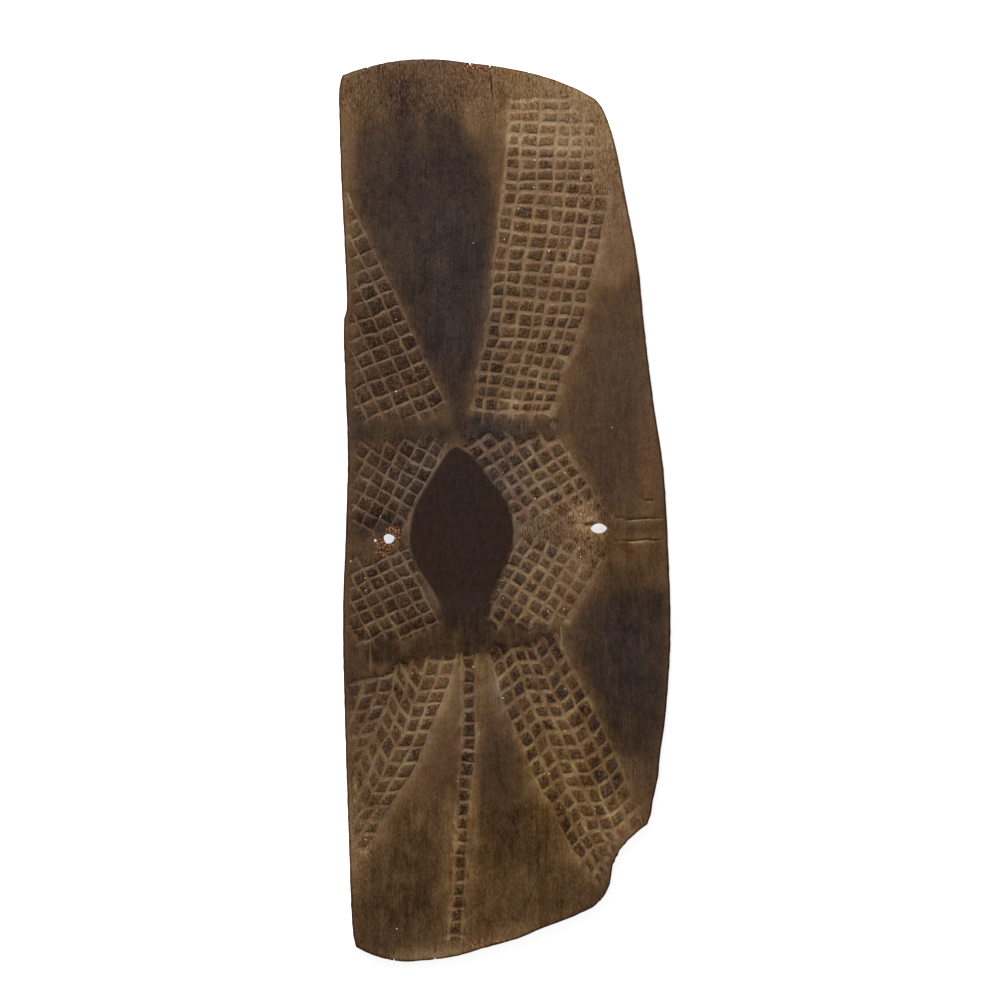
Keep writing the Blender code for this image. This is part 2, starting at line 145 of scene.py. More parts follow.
# The carving. Nine panels of squares stand between grooves cut with a narrow gouge: two bands fan out
# above, four stand round a plain diamond, two fan out below, and a ladder of single squares runs down
# to the foot. The grooves wander as cuts made by hand do, and overrun the panels' ends a little.
GROOVE_DEPTH = 0.0020
FULL_DEPTH_WIDTH = 0.0024
HAND_WANDER = 0.0013
HAND_SHAKE = 0.0010
CLEAR_OF_EDGE = 0.004
RUN_OUT_CLEAR = 0.005
FULL_DEPTH_CLEAR = 0.009
TIP_CLEAR = 0.003
KEEP_LINE_FADE = 0.018
OVERRUN = 0.85
PLAIN_SPACING = 0.023
LEAST_SPACING = 0.009
RIM_INSET = 0.0042
HOLE_INSETS = (0.0012, 0.0012, 0.0005)
PANELS = {
    "upper_right": {
        "half_widths": (0.0036, 0.0042),
        "contrast": 0.92,
        "left": [
            (0, 0.007, 0.636), (8, -0.002, 0.494), (11, -0.009, 0.434), (13, -0.017, 0.391),
            (17, -0.022, 0.312), (19, -0.026, 0.271), (21, -0.038, 0.233), (25, -0.050, 0.158),
        ],
        "right": [
            (0, 0.168, 0.637), (8, 0.160, 0.487), (11, 0.149, 0.418), (15, 0.130, 0.340),
            (17, 0.121, 0.299), (19, 0.109, 0.259), (21, 0.090, 0.216), (25, 0.072, 0.151),
        ],
        "columns": (0, 0.13, 0.31, 0.475, 0.595, 0.73, 0.853, 1),
        "rows": 25,
        "first_row": (0, 0, 0, 0, 1, 2, 8),
    },
    "upper_left": {
        "half_widths": (0.0025, 0.0026),
        "contrast": 0.8,
        "left": [(0, -0.392, 0.407), (15, -0.236, 0.082)],
        "right": [(0, -0.236, 0.471), (7, -0.161, 0.319), (15, -0.083, 0.146)],
        "columns": 7,
        "rows": 15,
        "keep": [((-0.237, 0.151), (-0.081, 0.158))],
    },
    "middle_left_above": {
        "half_widths": (0.0027, 0.0027),
        "contrast": 0.8,
        "left": [(0, -0.214, 0.174), (11, -0.319, -0.036)],
        "right": [(0, -0.094, 0.098), (11, -0.199, -0.112)],
        "columns": 7,
        "rows": 11,
        "keep": [((-0.087, 0.103), (-0.237, 0.095)), ((-0.237, -0.023), (-0.146, -0.023))],
    },
    "middle_left_below": {
        "half_widths": (0.0027, 0.0027),
        "contrast": 0.85,
        "left": [(0, -0.297, -0.080), (10, -0.197, -0.258)],
        "right": [(0, -0.165, -0.019), (10, -0.064, -0.197)],
        "columns": 7,
        "rows": 10,
        "keep": [
            ((-0.143, -0.066), (-0.237, -0.086)),
            ((-0.237, -0.199), (-0.100, -0.182)),
            ((-0.104, -0.165), (-0.133, -0.0925)),
        ],
    },
    "middle_right_above": {
        "half_widths": (0.0041, 0.0041),
        "contrast": 1.05,
        "left": [(0, -0.058, 0.095), (10, 0.058, -0.080)],
        "right": [(0, 0.049, 0.162), (10, 0.165, -0.012)],
        "columns": 6,
        "rows": 10,
        "keep": [((0.081, 0.112), (-0.060, 0.104)), ((0.012, -0.028), (0.148, -0.012))],
    },
    "middle_right_below": {
        "half_widths": (0.0040, 0.0040),
        "contrast": 1.05,
        "left": [(0, 0.056, 0.011), (10, -0.052, -0.170)],
        "right": [(0, 0.178, -0.070), (10, 0.070, -0.251)],
        "columns": 7,
        "rows": 10,
        "keep": [
            ((0.152, -0.050), (0.012, -0.050)),
            ((0.0075, -0.053), (-0.0295, -0.162)),
            ((-0.032, -0.169), (0.095, -0.169)),
            ((0.095, -0.172), (0.149, -0.052)),
        ],
    },
    "lower_right": {
        "half_widths": (0.0040, 0.0042),
        "contrast": 1.0,
        "left": [
            (0, -0.029, -0.213), (1, -0.020, -0.234), (4, -0.003, -0.299), (7, 0.026, -0.364),
            (10, 0.052, -0.429), (11, 0.069, -0.451), (13, 0.087, -0.494), (15, 0.111, -0.538),
            (17, 0.149, -0.581),
        ],
        "right": [(0, 0.088, -0.213), (7, 0.165, -0.364), (11, 0.200, -0.451), (15, 0.228, -0.538)],
        "columns": (0, 0.16, 0.32, 0.50, 0.655, 0.83, 1),
        "lift": (-1.35, -0.68, -0.05, 0, 0, 0.75, 1.5),
        "rows": 15,
        "first_row": (-1, -1, 0, 0, 0, 0),
        "keep": [((0.101, -0.202), (-0.026, -0.226))],
    },
    "lower_left": {
        "half_widths": (0.0036, 0.0038),
        "contrast": 0.92,
        "left": [
            (0, -0.228, -0.233), (2, -0.241, -0.278), (5, -0.265, -0.344), (8, -0.300, -0.414),
            (12, -0.354, -0.505),
        ],
        "right": [
            (0, -0.077, -0.233), (2, -0.090, -0.278), (5, -0.114, -0.344), (8, -0.149, -0.414),
            (12, -0.203, -0.505),
        ],
        "columns": 7,
        "lift": (1.35, 1.5, 1.75, 2.0, 0.9, 0, 0.05, 0.1),
        "rows": 13,
        "keep": [((-0.077, -0.224), (-0.216, -0.267))],
    },
    "ladder": {
        "half_widths": (0.0046, 0.0036),
        "contrast": 1.05,
        "left": [(0, -0.0665, -0.224), (7, -0.0680, -0.370), (14, -0.0775, -0.513), (21, -0.0860, -0.657)],
        "right": [(0, -0.0430, -0.224), (7, -0.0450, -0.370), (14, -0.0570, -0.513), (21, -0.0675, -0.657)],
        "columns": 1,
        "rows": 21,
    },
}


def distance_to_lines(spots, starts, ends):
    """How far each spot is from the nearest of a number of straight lines."""
    nearest = np.full(len(spots), np.inf)
    for start, end in zip(np.asarray(starts), np.asarray(ends)):
        run = end - start
        t = np.clip((spots - start) @ run / (run @ run), 0, 1)
        off = spots - start - t[:, None] * run
        nearest = np.minimum(nearest, np.einsum("ij,ij->i", off, off))
    return np.sqrt(nearest)


def is_within(spots, loop, ends=None):
    """Which spots are inside a closed loop, or inside lines that start at loop and end at ends."""
    inside = np.zeros(len(spots), bool)
    x, y = spots.T
    for start, end in zip(loop, ends or loop[1:] + loop[:1]):
        if start[1] != end[1]:
            crosses = (start[1] > y) != (end[1] > y)
            inside ^= crosses & (x < start[0] + (y - start[1]) * (end[0] - start[0]) / (end[1] - start[1]))
    return inside


def clear_distance(spots, loops):
    """How far each spot is inside the plank, away from its edge and its holes."""
    spots = np.asarray(spots, float).reshape(-1, 2)
    nearest = np.full(len(spots), np.inf)
    for k, loop in enumerate(loops):
        nearest = np.minimum(nearest, distance_to_lines(spots, loop, loop[1:] + loop[:1]))
        nearest = np.where(is_within(spots, loop) == (k == 0), nearest, -1.0)
    return nearest


def chance(a, b, c=0):
    """A number from 0 to 1 that is always the same for the same place."""
    value = np.sin(a * 127.1 + b * 311.7 + c * 74.7) * 43758.5453
    return value - np.floor(value)


def ramp(value, start, end):
    """0 up to the start, 1 from the end on and even between; the start may be the greater."""
    return np.clip((value - start) / (end - start), 0, 1)


def eased(share):
    """A share from 0 to 1 that leaves both ends softly."""
    return share * share * (3 - 2 * share)


def uneven(x, y, size_x, size_y, which):
    """A smooth unevenness from -1 to 1, with lumps of about the given size."""
    gx, gy = x / size_x, y / size_y
    ix, iy = np.floor(gx), np.floor(gy)
    fx, fy = eased(gx - ix), eased(gy - iy)
    low = chance(ix, iy, which) * (1 - fx) + chance(ix + 1, iy, which) * fx
    high = chance(ix, iy + 1, which) * (1 - fx) + chance(ix + 1, iy + 1, which) * fx
    return 2 * (low * (1 - fy) + high * fy) - 1


def staggered(spacing):
    """Points in staggered rows, a spacing apart, over more than the whole plank."""
    across, along = math.ceil(0.26 / spacing), math.ceil(0.82 / spacing)
    columns, rows = range(-across, across + 1), range(-along, along + 1)
    return np.array([(a + 0.5 * (b % 2), 0.87 * b) for b in rows for a in columns]) * spacing


class Panel:
    """One carved panel: a net of grooves, its lines numbered by column and row."""

    def __init__(self, half_widths, contrast, left, right, columns, rows, lift=(), keep=(), first_row=()):
        self.half_widths, self.contrast = half_widths, contrast
        if isinstance(columns, int):
            columns = [k / columns for k in range(columns + 1)]
        self.left, self.right, self.columns, self.rows = left, right, columns, rows
        self.lift = lift or [0] * len(columns)
        self.keep = keep
        self.first_row = first_row or [0] * (len(columns) - 1)
        self.squares, self.grooves, self.floor, self.shoulders = [], set(), {}, {}

    def place(self, column, row):
        """Where a crossing is, or any point between crossings."""
        column = np.asarray(column, float)
        k = np.clip(np.floor(column), 0, len(self.columns) - 2).astype(int)
        lift, columns = np.array(self.lift), np.array(self.columns)
        row = row - (lift[k] + (lift[k + 1] - lift[k]) * (column - k))
        across = (columns[k] + (columns[k + 1] - columns[k]) * (column - k))[..., None]
        spot = self.side(self.left, row) * (1 - across) + self.side(self.right, row) * across
        x, y = spot[..., 0], spot[..., 1]
        along = np.sin(61 * x + 23 * y + 0.4) + 0.7 * np.sin(118 * y - 47 * x + 1.9)
        over = np.sin(53 * y - 31 * x + 2.6) + 0.7 * np.sin(127 * x + 39 * y + 0.8)
        wander = HAND_WANDER * np.stack([along, over], -1)
        shakes = [uneven(x, y, 0.011, 0.011, which) for which in (21, 22)]
        return spot + wander + HAND_SHAKE * np.stack(shakes, -1)

    def side(self, line, row):
        """The point of one of the panel's two side lines at a row."""
        rows, xs, ys = np.array(line, float).T
        k = np.clip(np.searchsorted(rows, row), 1, len(rows) - 1)
        t = (row - rows[k - 1]) / (rows[k] - rows[k - 1])
        return np.stack([xs[k - 1] + t * (xs[k] - xs[k - 1]), ys[k - 1] + t * (ys[k] - ys[k - 1])], -1)

    def margin(self, spots):
        """How far spots are inside the panel's limits."""
        found = np.full(len(spots), np.inf)
        for start, end in self.keep:
            run = np.subtract(end, start) / math.dist(start, end)
            off = spots - np.array(start)
            found = np.minimum(found, run[0] * off[:, 1] - run[1] * off[:, 0])
        return found

    def raised_squares(self, loops):
        """The (column, row) of each raised square."""
        columns = range(len(self.columns) - 1)
        every = np.array([(c, r) for c in columns for r in range(self.first_row[c], self.rows)])
        middles = self.place(every[:, 0] + 0.5, every[:, 1] + 0.5)
        kept = (clear_distance(middles, loops) > CLEAR_OF_EDGE) & (self.margin(middles) > 0)
        return [tuple(int(n) for n in square) for square in every[kept]]

    def look(self, column, row):
        """How high a square stands, from -1 to 1, and how dark it is."""
        rise = 2 * chance(column, row, self.rows) - 1
        return rise, self.contrast * (0.55 + 0.9 * chance(column, row, self.rows + 3))

    def shoulder_corners(self, column, row):
        """The four corners of plain wood round a crossing, by their side of it."""
        across = self.place(column + 0.5, row) - self.place(column - 0.5, row)
        down = self.place(column, row + 0.5) - self.place(column, row - 0.5)
        wide_length, high_length = np.hypot(*across), np.hypot(*down)
        skew = abs(across[0] * down[1] - across[1] * down[0]) / (wide_length * high_length)
        wide = self.half_widths[0] / (wide_length * skew)
        high = self.half_widths[1] / (high_length * skew)
        sides = [(right, below) for right in (-1, 1) for below in (-1, 1)]
        return {(a, b): self.place(column + a * wide, row + b * high) for a, b in sides}

    def run_out(self, start, end, loops):
        """Where a groove that leaves the wood between two crossings rises to the surface."""
        steps = np.linspace(1, 0, 21)
        column = start[0] + (end[0] - start[0]) * steps
        row = start[1] + (end[1] - start[1]) * steps
        spots = self.place(column, row)
        return spots[np.argmax(clear_distance(spots, loops) >= TIP_CLEAR)]


CARVED = ("cut", "split", "rise", "dome", "carved")


class FrontNet:
    """The lines that the front is marked out with. Each point knows how deep the groove is there, how
    deep a split is, how high its own square stands above its neighbours and how domed it is."""

    def __init__(self, loops):
        self.loops = loops
        self.points, self.lines, self.grooves = [], [], []
        self.marks = {name: [] for name in CARVED}

    def add(self, spot, **marks):
        """A new point and its marks; those that aren't given are nought."""
        self.points.append(Vector((float(spot[0]), float(spot[1]))))
        for name, values in self.marks.items():
            values.append(float(marks.get(name, 0)))
        return len(self.points) - 1

    def loop(self, spots):
        found = [self.add(spot) for spot in spots]
        self.lines += list(zip(found, found[1:] + found[:1]))
        return found

    def stroke(self, spots, half_width, cut=0.0, split=0.0, start=None, pale=0.9):
        """A single cut or split that tapers to both ends, or away from a point that is there already."""
        spots = [Vector(spot) for spot in spots]
        rows = [[self.add(spots[0]) if start is None else start] * 3]
        for before, here, after in zip(spots, spots[1:], spots[2:]):
            run = (after - before).normalized()
            side = Vector((-run.y, run.x)) * half_width
            rows.append([
                self.add(here - side, carved=cut),
                self.add(here, cut=cut, split=split, carved=cut),
                self.add(here + side, carved=cut),
            ])
        rows.append([self.add(spots[-1])] * 3)
        for here, there in zip(rows, rows[1:]):
            self.lines += list(zip(here, there))
        if cut:
            depths = [0] + [cut] * (len(spots) - 2) + [0]
            ends = zip(spots, spots[1:], depths, depths[1:])
            self.grooves += [(*end, half_width, 0, pale, 0) for end in ends]

    def groove(self, start, end, half_width, step, pale, open_side=0):
        """Notes a cut between two points: its depth at both, whether it runs across or down, how pale
        it is, and on which side of it, left or right, the wood is plain and so slopes away softly."""
        luck = chance(self.points[start].x * 91, self.points[end].y * 83, 12)
        depths = [self.marks["cut"][k] * (0.65 + 0.35 * luck) for k in (start, end)]
        half_width *= 0.82 + 0.30 * luck
        pale *= 0.6 + 0.7 * luck
        self.grooves.append(
            (self.points[start], self.points[end], *depths, half_width, abs(step[0]), pale, open_side)
        )

    def mark_crossings(self, panel):
        """Adds the floor of each crossing, and its four shoulders where the wood has room for them."""
        crossings = sorted({end for groove in panel.grooves for end in groove})
        spots = panel.place(*np.array(crossings, float).T)
        clears, margins = clear_distance(spots, self.loops), panel.margin(spots)
        for crossing, spot, clear, margin in zip(crossings, spots, clears, margins):
            if clear < RUN_OUT_CLEAR:
                continue
            from_edge = (clear - RUN_OUT_CLEAR) / (FULL_DEPTH_CLEAR - RUN_OUT_CLEAR)
            cut = max(0.0, min(from_edge, 1.0 + margin / KEEP_LINE_FADE, 1.0))
            panel.floor[crossing] = self.add(spot, cut=cut, carved=panel.contrast)
            if clear <= RUN_OUT_CLEAR + max(panel.half_widths) or cut == 0:
                continue
            for (a, b), corner in panel.shoulder_corners(*crossing).items():
                column, row = crossing[0] + (a - 1) // 2, crossing[1] + (b - 1) // 2
                rise, dark = panel.look(column, row)
                if (column, row) in panel.squares:
                    rise = rise + 0.6 * chance(*corner * 999) - 0.3
                else:
                    rise, dark = 0, dark * 0.8 * any((column, row + k) in panel.squares for k in (-1, 1))
                panel.shoulders[crossing + (a, b)] = self.add(corner, rise=rise, carved=dark)

    def carve(self, panel):
        """The grooves of one panel: floor lines, and a shoulder line on each side of them."""
        panel.squares = panel.raised_squares(self.loops)
        for column, row in panel.squares:
            panel.grooves |= {((column, row + k), (column + 1, row + k)) for k in (0, 1)}
            panel.grooves |= {((column + k, row), (column + k, row + 1)) for k in (0, 1)}
        self.mark_crossings(panel)
        for column, row in panel.squares:
            corners = [(column + a, row + b) for a in (0, 1) for b in (0, 1)]
            if all(corner + (1, 1) in panel.shoulders for corner in corners):
                rise, dark = panel.look(column, row)
                dome = 1.4 * chance(row, column, panel.rows) - 0.4
                self.add(panel.place(column + 0.5, row + 0.5), rise=rise, dome=dome, carved=dark)
        for column, row in panel.floor:
            if (column, row, 1, 1) in panel.shoulders:
                for step in ((1, 0), (-1, 0), (0, 1), (0, -1)):
                    self.mark_arm(panel, column, row, step)

    def mark_arm(self, panel, column, row, step):
        """What goes on from a crossing to one side: a groove to the next crossing, a groove that runs
        out, a short overrun past the panel's end, or nothing but the shoulder."""
        other = (column + step[0], row + step[1])
        carved = ((column, row), other) in panel.grooves or (other, (column, row)) in panel.grooves
        sides = [(step[0] or side, step[1] or side) for side in (-1, 1)]
        beside = [panel.shoulders[(column, row) + side] for side in sides]
        middle = panel.floor[column, row]
        half_width = panel.half_widths[abs(step[0])]
        if carved and other + (1, 1) in panel.shoulders:
            if step in ((1, 0), (0, 1)):
                far = [(-a if step[0] else a, -b if step[1] else b) for a, b in sides]
                self.lines.append((middle, panel.floor[other]))
                self.lines += [(here, panel.shoulders[other + there]) for here, there in zip(beside, far)]
                left = (column, row - 1) if step[0] else (column, row)
                right = (column, row) if step[0] else (column - 1, row)
                open_side = 0 if step[0] else (left not in panel.squares) - (right not in panel.squares)
                self.groove(middle, panel.floor[other], half_width, step, panel.contrast, open_side)
            return
        tip = None
        if carved:
            tip = panel.floor.get(other)
            if tip is None:
                tip = self.add(panel.run_out((column, row), other, self.loops))
        elif step[1]:
            reach = OVERRUN * (0.35 + 0.65 * chance(column, row, 5)) * step[1]
            spot = panel.place(column + 0.08 * (chance(row, column, 9) - 0.5), row + reach)
            if clear_distance(spot, self.loops)[0] > TIP_CLEAR:
                tip = self.add(spot)
                half_width *= 0.9
        if tip is None:
            self.lines.append(tuple(beside))
        else:
            self.lines += [(start, tip) for start in beside + [middle]]
            self.groove(middle, tip, half_width, step, panel.contrast)

    def fill_plain(self):
        """Sparse points over the uncarved wood."""
        spots = staggered(PLAIN_SPACING)
        spots = spots[clear_distance(spots, self.loops) > LEAST_SPACING]
        marked = np.array([tuple(point) for point in self.points])
        for spot in spots:
            if ((marked - spot) ** 2).sum(1).min() > LEAST_SPACING**2:
                self.add(spot)


LOOSE_STROKES = [
    # half width, how deep, how pale, and the way it runs
    (0.0030, 0.8, 0.9, [(0.087, -0.172), (0.0875, -0.193), (0.088, -0.214)]),
    (0.0024, 0.7, 0.9, [(-0.208, -0.194), (-0.2085, -0.225), (-0.209, -0.259)]),
    (0.0026, 0.8, 0.9, [(-0.2470, 0.4965), (-0.2430, 0.4880), (-0.2370, 0.4750)]),
    (0.0052, 0.4, 1.2, [(0.0735, 0.146), (0.0755, 0.132), (0.0795, 0.115)]),
    (0.0020, 0.6, 0.9, [(-0.212, -0.261), (-0.222, -0.290), (-0.238, -0.322)]),
    (0.0018, 0.30, 2.4, [(0.164, -0.0105), (0.197, -0.0165), (0.220, -0.0145), (0.246, -0.0130)]),
    (0.0018, 0.30, 2.4, [(0.166, -0.0470), (0.194, -0.0495), (0.222, -0.0470), (0.246, -0.0455)]),
    (0.0012, 0.28, 2.2, [(0.2096, 0.0165), (0.221, 0.0150), (0.2328, 0.0147)]),
    (0.0009, 0.26, 2.0, [(-0.1565, -0.5750), (-0.1560, -0.5880), (-0.1535, -0.6050)]),
    (0.0022, 0.7, 1.1, [(-0.0350, 0.1560), (-0.0347, 0.1440), (-0.0350, 0.1310)]),
    (0.0020, 0.7, 1.1, [(-0.0165, 0.1560), (-0.0160, 0.1480), (-0.0165, 0.1380)]),
    (0.0020, 0.6, 1.6, [(0.0135, 0.1570), (0.0120, 0.1480), (0.0112, 0.1370)]),
    (0.0013, 0.4, 1.0, [(0.0255, 0.1420), (0.0260, 0.1300), (0.0262, 0.1180)]),
    (0.0028, 0.6, 0.9, [(0.0500, 0.1660), (0.0440, 0.1490), (0.0395, 0.1320)]),
]
outline, notches = split_edge()
inward = inward_directions(outline)
holes = [
    hole_loop(*ROUND_HOLE, corners=20, wavy=0.07),
    hole_loop(*EYE_HOLE, corners=24, pointed=1.5),
    hole_loop(*WORMHOLE, corners=8),
]
ways = [inward] + [inward_directions(hole) for hole in holes]
insets = [[RIM_INSET + notch for notch in notches]]
insets += [[inset] * len(hole) for hole, inset in zip(holes, HOLE_INSETS)]
loops = []
for loop, steps, amounts in zip([outline] + holes, ways, insets):
    loops.append([spot + step * amount for spot, step, amount in zip(loop, steps, amounts)])

net = FrontNet(loops)
rings = [net.loop(loop) for loop in loops]
for sizes in PANELS.values():
    net.carve(Panel(**sizes))
for half_width, deep, pale, spots in LOOSE_STROKES:
    net.stroke(spots, half_width, cut=deep, pale=pale)
for x, at_top, opening, path in EDGE_SPLITS:
    notched = [k for k, spot in enumerate(outline) if notches[k] > 0 and (spot.y > 0) == at_top]
    k = next(k for k in notched if abs(outline[k].x - x) < 1e-5)
    net.stroke([loops[0][k]] + path, SPLIT_HALF_WIDTH, split=1.0, start=rings[0][k])
net.fill_plain()
spots, _, faces, sources, _, _ = delaunay_2d_cdt(net.points, net.lines, [], 1, 1e-6)

board = bmesh.new()
floats = board.verts.layers.float
marks = {name: floats.new(name) for name in CARVED}
way_x, way_y, room, side = (floats.new(name) for name in ("way_x", "way_y", "room", "side"))
edge_points = {}
for ring, steps, inset in zip(rings, ways, (RIM_INSET,) + HOLE_INSETS):
    edge_points |= {point: (step, inset) for point, step in zip(ring, steps)}
corners = []
for spot, source in zip(spots, sources):
    corner = board.verts.new((spot.x, spot.y, 0))
    for name in CARVED:
        corner[marks[name]] = max((net.marks[name][k] for k in source), default=0.0, key=abs)
    for k in source:
        if k in edge_points:
            (corner[way_x], corner[way_y]), corner[room] = edge_points[k]
    corners.append(corner)
flat = np.array([tuple(spot) for spot in spots])
middles = np.array([flat[list(face)].mean(0) for face in faces])
open_air = np.any([is_within(middles, loop) for loop in loops[1:]], axis=0)
for face, gone in zip(faces, open_air):
    if not gone:
        board.faces.new([corners[k] for k in face])
bmesh.ops.subdivide_edges(board, edges=board.edges[:], cuts=3, use_grid_fill=True)


# The surface. The front is gently crowned and thins to every side. Age and use have rounded the cuts,
# sunk the wood a little round the holes and opened its grain where the corner broke away.
DIAMOND = [
    (-0.075, 0.099), (-0.053, 0.086), (-0.022, 0.047), (0.001, 0.016), (0.013, -0.020), (0.0125, -0.050),
    (-0.002, -0.092), (-0.015, -0.123), (-0.026, -0.146), (-0.040, -0.180), (-0.085, -0.180),
    (-0.100, -0.146), (-0.112, -0.123), (-0.131, -0.092), (-0.145, -0.061), (-0.146, -0.030),
    (-0.137, 0.009), (-0.115, 0.047), (-0.090, 0.088),
]
WORN_AREAS = [
    # how much of the carving has gone, x, y, and its reach across and along
    (0.50, 0.140, 0.600, 0.050, 0.060),
    (0.45, 0.080, 0.635, 0.090, 0.030),
    (0.45, 0.160, 0.520, 0.018, 0.080),
    (0.80, 0.062, -0.022, 0.060, 0.024),
    (0.75, 0.138, -0.030, 0.034, 0.055),
    (0.50, 0.105, -0.105, 0.030, 0.045),
    (0.30, -0.226, -0.370, 0.040, 0.110),
    (0.30, -0.205, -0.480, 0.045, 0.050),
    (0.40, -0.100, -0.040, 0.030, 0.030),
    (0.35, 0.205, -0.440, 0.035, 0.050),
    (0.15, 0.150, -0.540, 0.040, 0.040),
]
HALF_WIDTH, HALF_LENGTH = 0.258, 0.700
MIDDLE_THICKNESS, EDGE_THICKNESS = 0.0185, 0.0105
SPLIT_DEPTH = 0.0045
SHOULDER_DEPTH = 0.0006
SQUARE_STEP, SQUARE_DOME = 0.00038, 0.00045
LONG_WAVES, GRAIN_WAVES, ADZE_DEPTH = 0.0004, 0.00018, 0.00025
EYE_HOLLOW, EYE_SCOOP, SCOOP_MIDDLE = 0.0016, 0.0044, (0.1310, -0.0225)
TORN_DEPTH, FRAY_DEPTH = 0.0011, 0.0006
SIDE_STRAY = 0.0006
BROKEN_CORNER = (0.185, -0.560)


def front_height(x, y):
    """Height of the plain front above the flat back."""
    thinned = np.minimum(1, np.abs(x / HALF_WIDTH) ** 2.5 + np.abs(y / HALF_LENGTH) ** 6)
    return MIDDLE_THICKNESS - (MIDDLE_THICKNESS - EDGE_THICKNESS) * thinned


def near(x, y, spot, reach_x, reach_y, power=2):
    """1 at a spot, falling softly to 0 beyond its reach."""
    return np.exp(-(np.abs((x - spot[0]) / reach_x) ** power) - np.abs((y - spot[1]) / reach_y) ** power)


def by_edge(clear, reach):
    """1 at the plank's edge and its holes, falling away inwards."""
    return np.exp(-np.maximum(0, clear) / reach)


def adze_marks(x, y, size_x, size_y, which):
    """Shallow dishes side by side, 1 in the middle of each and 0 where they meet."""
    gx, gy = x / size_x, y / size_y
    nearest = np.full(np.shape(x), np.inf)
    for a in (-1, 0, 1):
        for b in (-1, 0, 1):
            ix, iy = np.floor(gx) + a, np.floor(gy) + b
            off_x = gx - ix - 0.2 - 0.6 * chance(ix, iy, which)
            off_y = gy - iy - 0.2 - 0.6 * chance(iy, ix, which + 1)
            nearest = np.minimum(nearest, off_x**2 + off_y**2)
    return np.maximum(0, 1 - nearest)


def inside_by(x, y, loop):
    """How far places are inside a loop; outside it, less than nought."""
    spots = np.stack([x, y], -1)
    away = distance_to_lines(spots, loop, loop[1:] + loop[:1])
    return np.where(is_within(spots, loop), away, -away)


def cut_by_grooves(x, y, grooves):
    """How deep the cuts are at each place, from 0 to 1, how many half widths it is off the nearest floor
    and how pale that floor is."""
    shaken = x + 0.0010 * uneven(x, y, 0.010, 0.010, 31) + 0.0006 * uneven(x, y, 0.0045, 0.0045, 32)
    y = y + 0.0010 * uneven(x, y, 0.010, 0.010, 33) + 0.0006 * uneven(x, y, 0.0045, 0.0045, 34)
    x = shaken
    width = 1 + 0.24 * uneven(x, y, 0.013, 0.013, 35) + 0.14 * uneven(x, y, 0.005, 0.005, 36)
    cuts, off, shows = np.zeros((2, len(x))), np.full(len(x), 6.0), np.zeros(len(x))
    for start, end, depth, end_depth, half_width, way, pale, open_side in grooves:
        reach = 6 * half_width
        low_x, high_x = sorted((start[0], end[0]))
        low_y, high_y = sorted((start[1], end[1]))
        around = (x > low_x - reach) & (x < high_x + reach) & (y > low_y - reach) & (y < high_y + reach)
        k = np.flatnonzero(around)
        run = end - start
        t = np.clip(((x[k] - start.x) * run.x + (y[k] - start.y) * run.y) / run.length_squared, 0, 1)
        level = np.minimum(1, 3 * (depth + (end_depth - depth) * t))
        away = np.hypot(x[k] - start.x - t * run.x, y[k] - start.y - t * run.y)
        away /= half_width * width[k] * (0.3 + 0.7 * level)
        left_of = (x[k] - start.x) * run.y - (y[k] - start.y) * run.x < 0
        soft = (open_side != 0) & (left_of == (open_side > 0))
        wall = np.where(soft, ramp(away, 2.6, 0.3), ramp(away, 1.04, 0.42))
        shallow = min(1, half_width / FULL_DEPTH_WIDTH) ** 1.5
        here = shallow * (depth + (end_depth - depth) * t) * eased(wall)
        cuts[way, k] = np.maximum(cuts[way, k], here)
        away += 1.5 * (1 - level)
        nearer = away < off[k]
        shows[k] = np.where(nearer, pale, shows[k])
        off[k] = np.where(nearer, away, off[k])
    return 1 - (1 - cuts[0]) * (1 - cuts[1]), off, shows


def layer_values(layer):
    """What one of the marks says at every corner of the mesh."""
    return np.array([vert[layer] for vert in board.verts])


x, y = np.array([vert.co[:2] for vert in board.verts]).T
on_edge = np.array([vert.is_boundary for vert in board.verts])
clear = clear_distance(np.stack([x, y], -1), loops)
stray_x = np.where(on_edge, 0, SIDE_STRAY * uneven(x, y, 0.0080, 0.0095, 8))
stray_y = np.where(on_edge, 0, SIDE_STRAY * uneven(x, y, 0.0095, 0.0080, 9))
cut, off, shows = cut_by_grooves(x, y, net.grooves)
kept = np.ones(len(x))
for gone, *spot, reach_x, reach_y in WORN_AREAS:
    kept *= 1 - gone * near(x, y, spot, reach_x, reach_y, 3)
diamond = smooth_through(DIAMOND + DIAMOND[:1], 0.006)
outside = ramp(inside_by(x, y, diamond), 0, -0.003)
cut, off, shows = cut * outside * (0.25 + 0.75 * kept), off + 4 * (1 - outside), shows * outside * kept
split, rise, dome = (layer_values(marks[name]) for name in ("split", "rise", "dome"))
to_eye_hole = near(x, y, EYE_HOLE, 0.017, 0.012)
broken = near(x, y, BROKEN_CORNER, 0.060, 0.045, 4) * by_edge(clear, 0.010)
frayed = near(x, y, ROUND_HOLE, 0.020, 0.024, 4)
depth = GROOVE_DEPTH * cut * (0.85 + 0.15 * uneven(x, y, 0.011, 0.011, 3))
depth += SHOULDER_DEPTH * shows * ramp(off, 2.8, 1.0)
depth += SPLIT_DEPTH * np.sqrt(np.clip(split, 0, 1))
depth -= SQUARE_STEP * rise * (1 - cut) + SQUARE_DOME * eased(dome)
depth += LONG_WAVES * (1 + uneven(x, y, 0.045, 0.150, 1))
depth += GRAIN_WAVES * (1 + uneven(x, y, 0.009, 0.060, 2)) + ADZE_DEPTH * adze_marks(x, y, 0.034, 0.060, 5)
depth += EYE_HOLLOW * to_eye_hole + EYE_SCOOP * near(x, y, SCOOP_MIDDLE, 0.0090, 0.0032)
depth += TORN_DEPTH * broken * (1 + uneven(x, y, 0.0022, 0.018, 6))
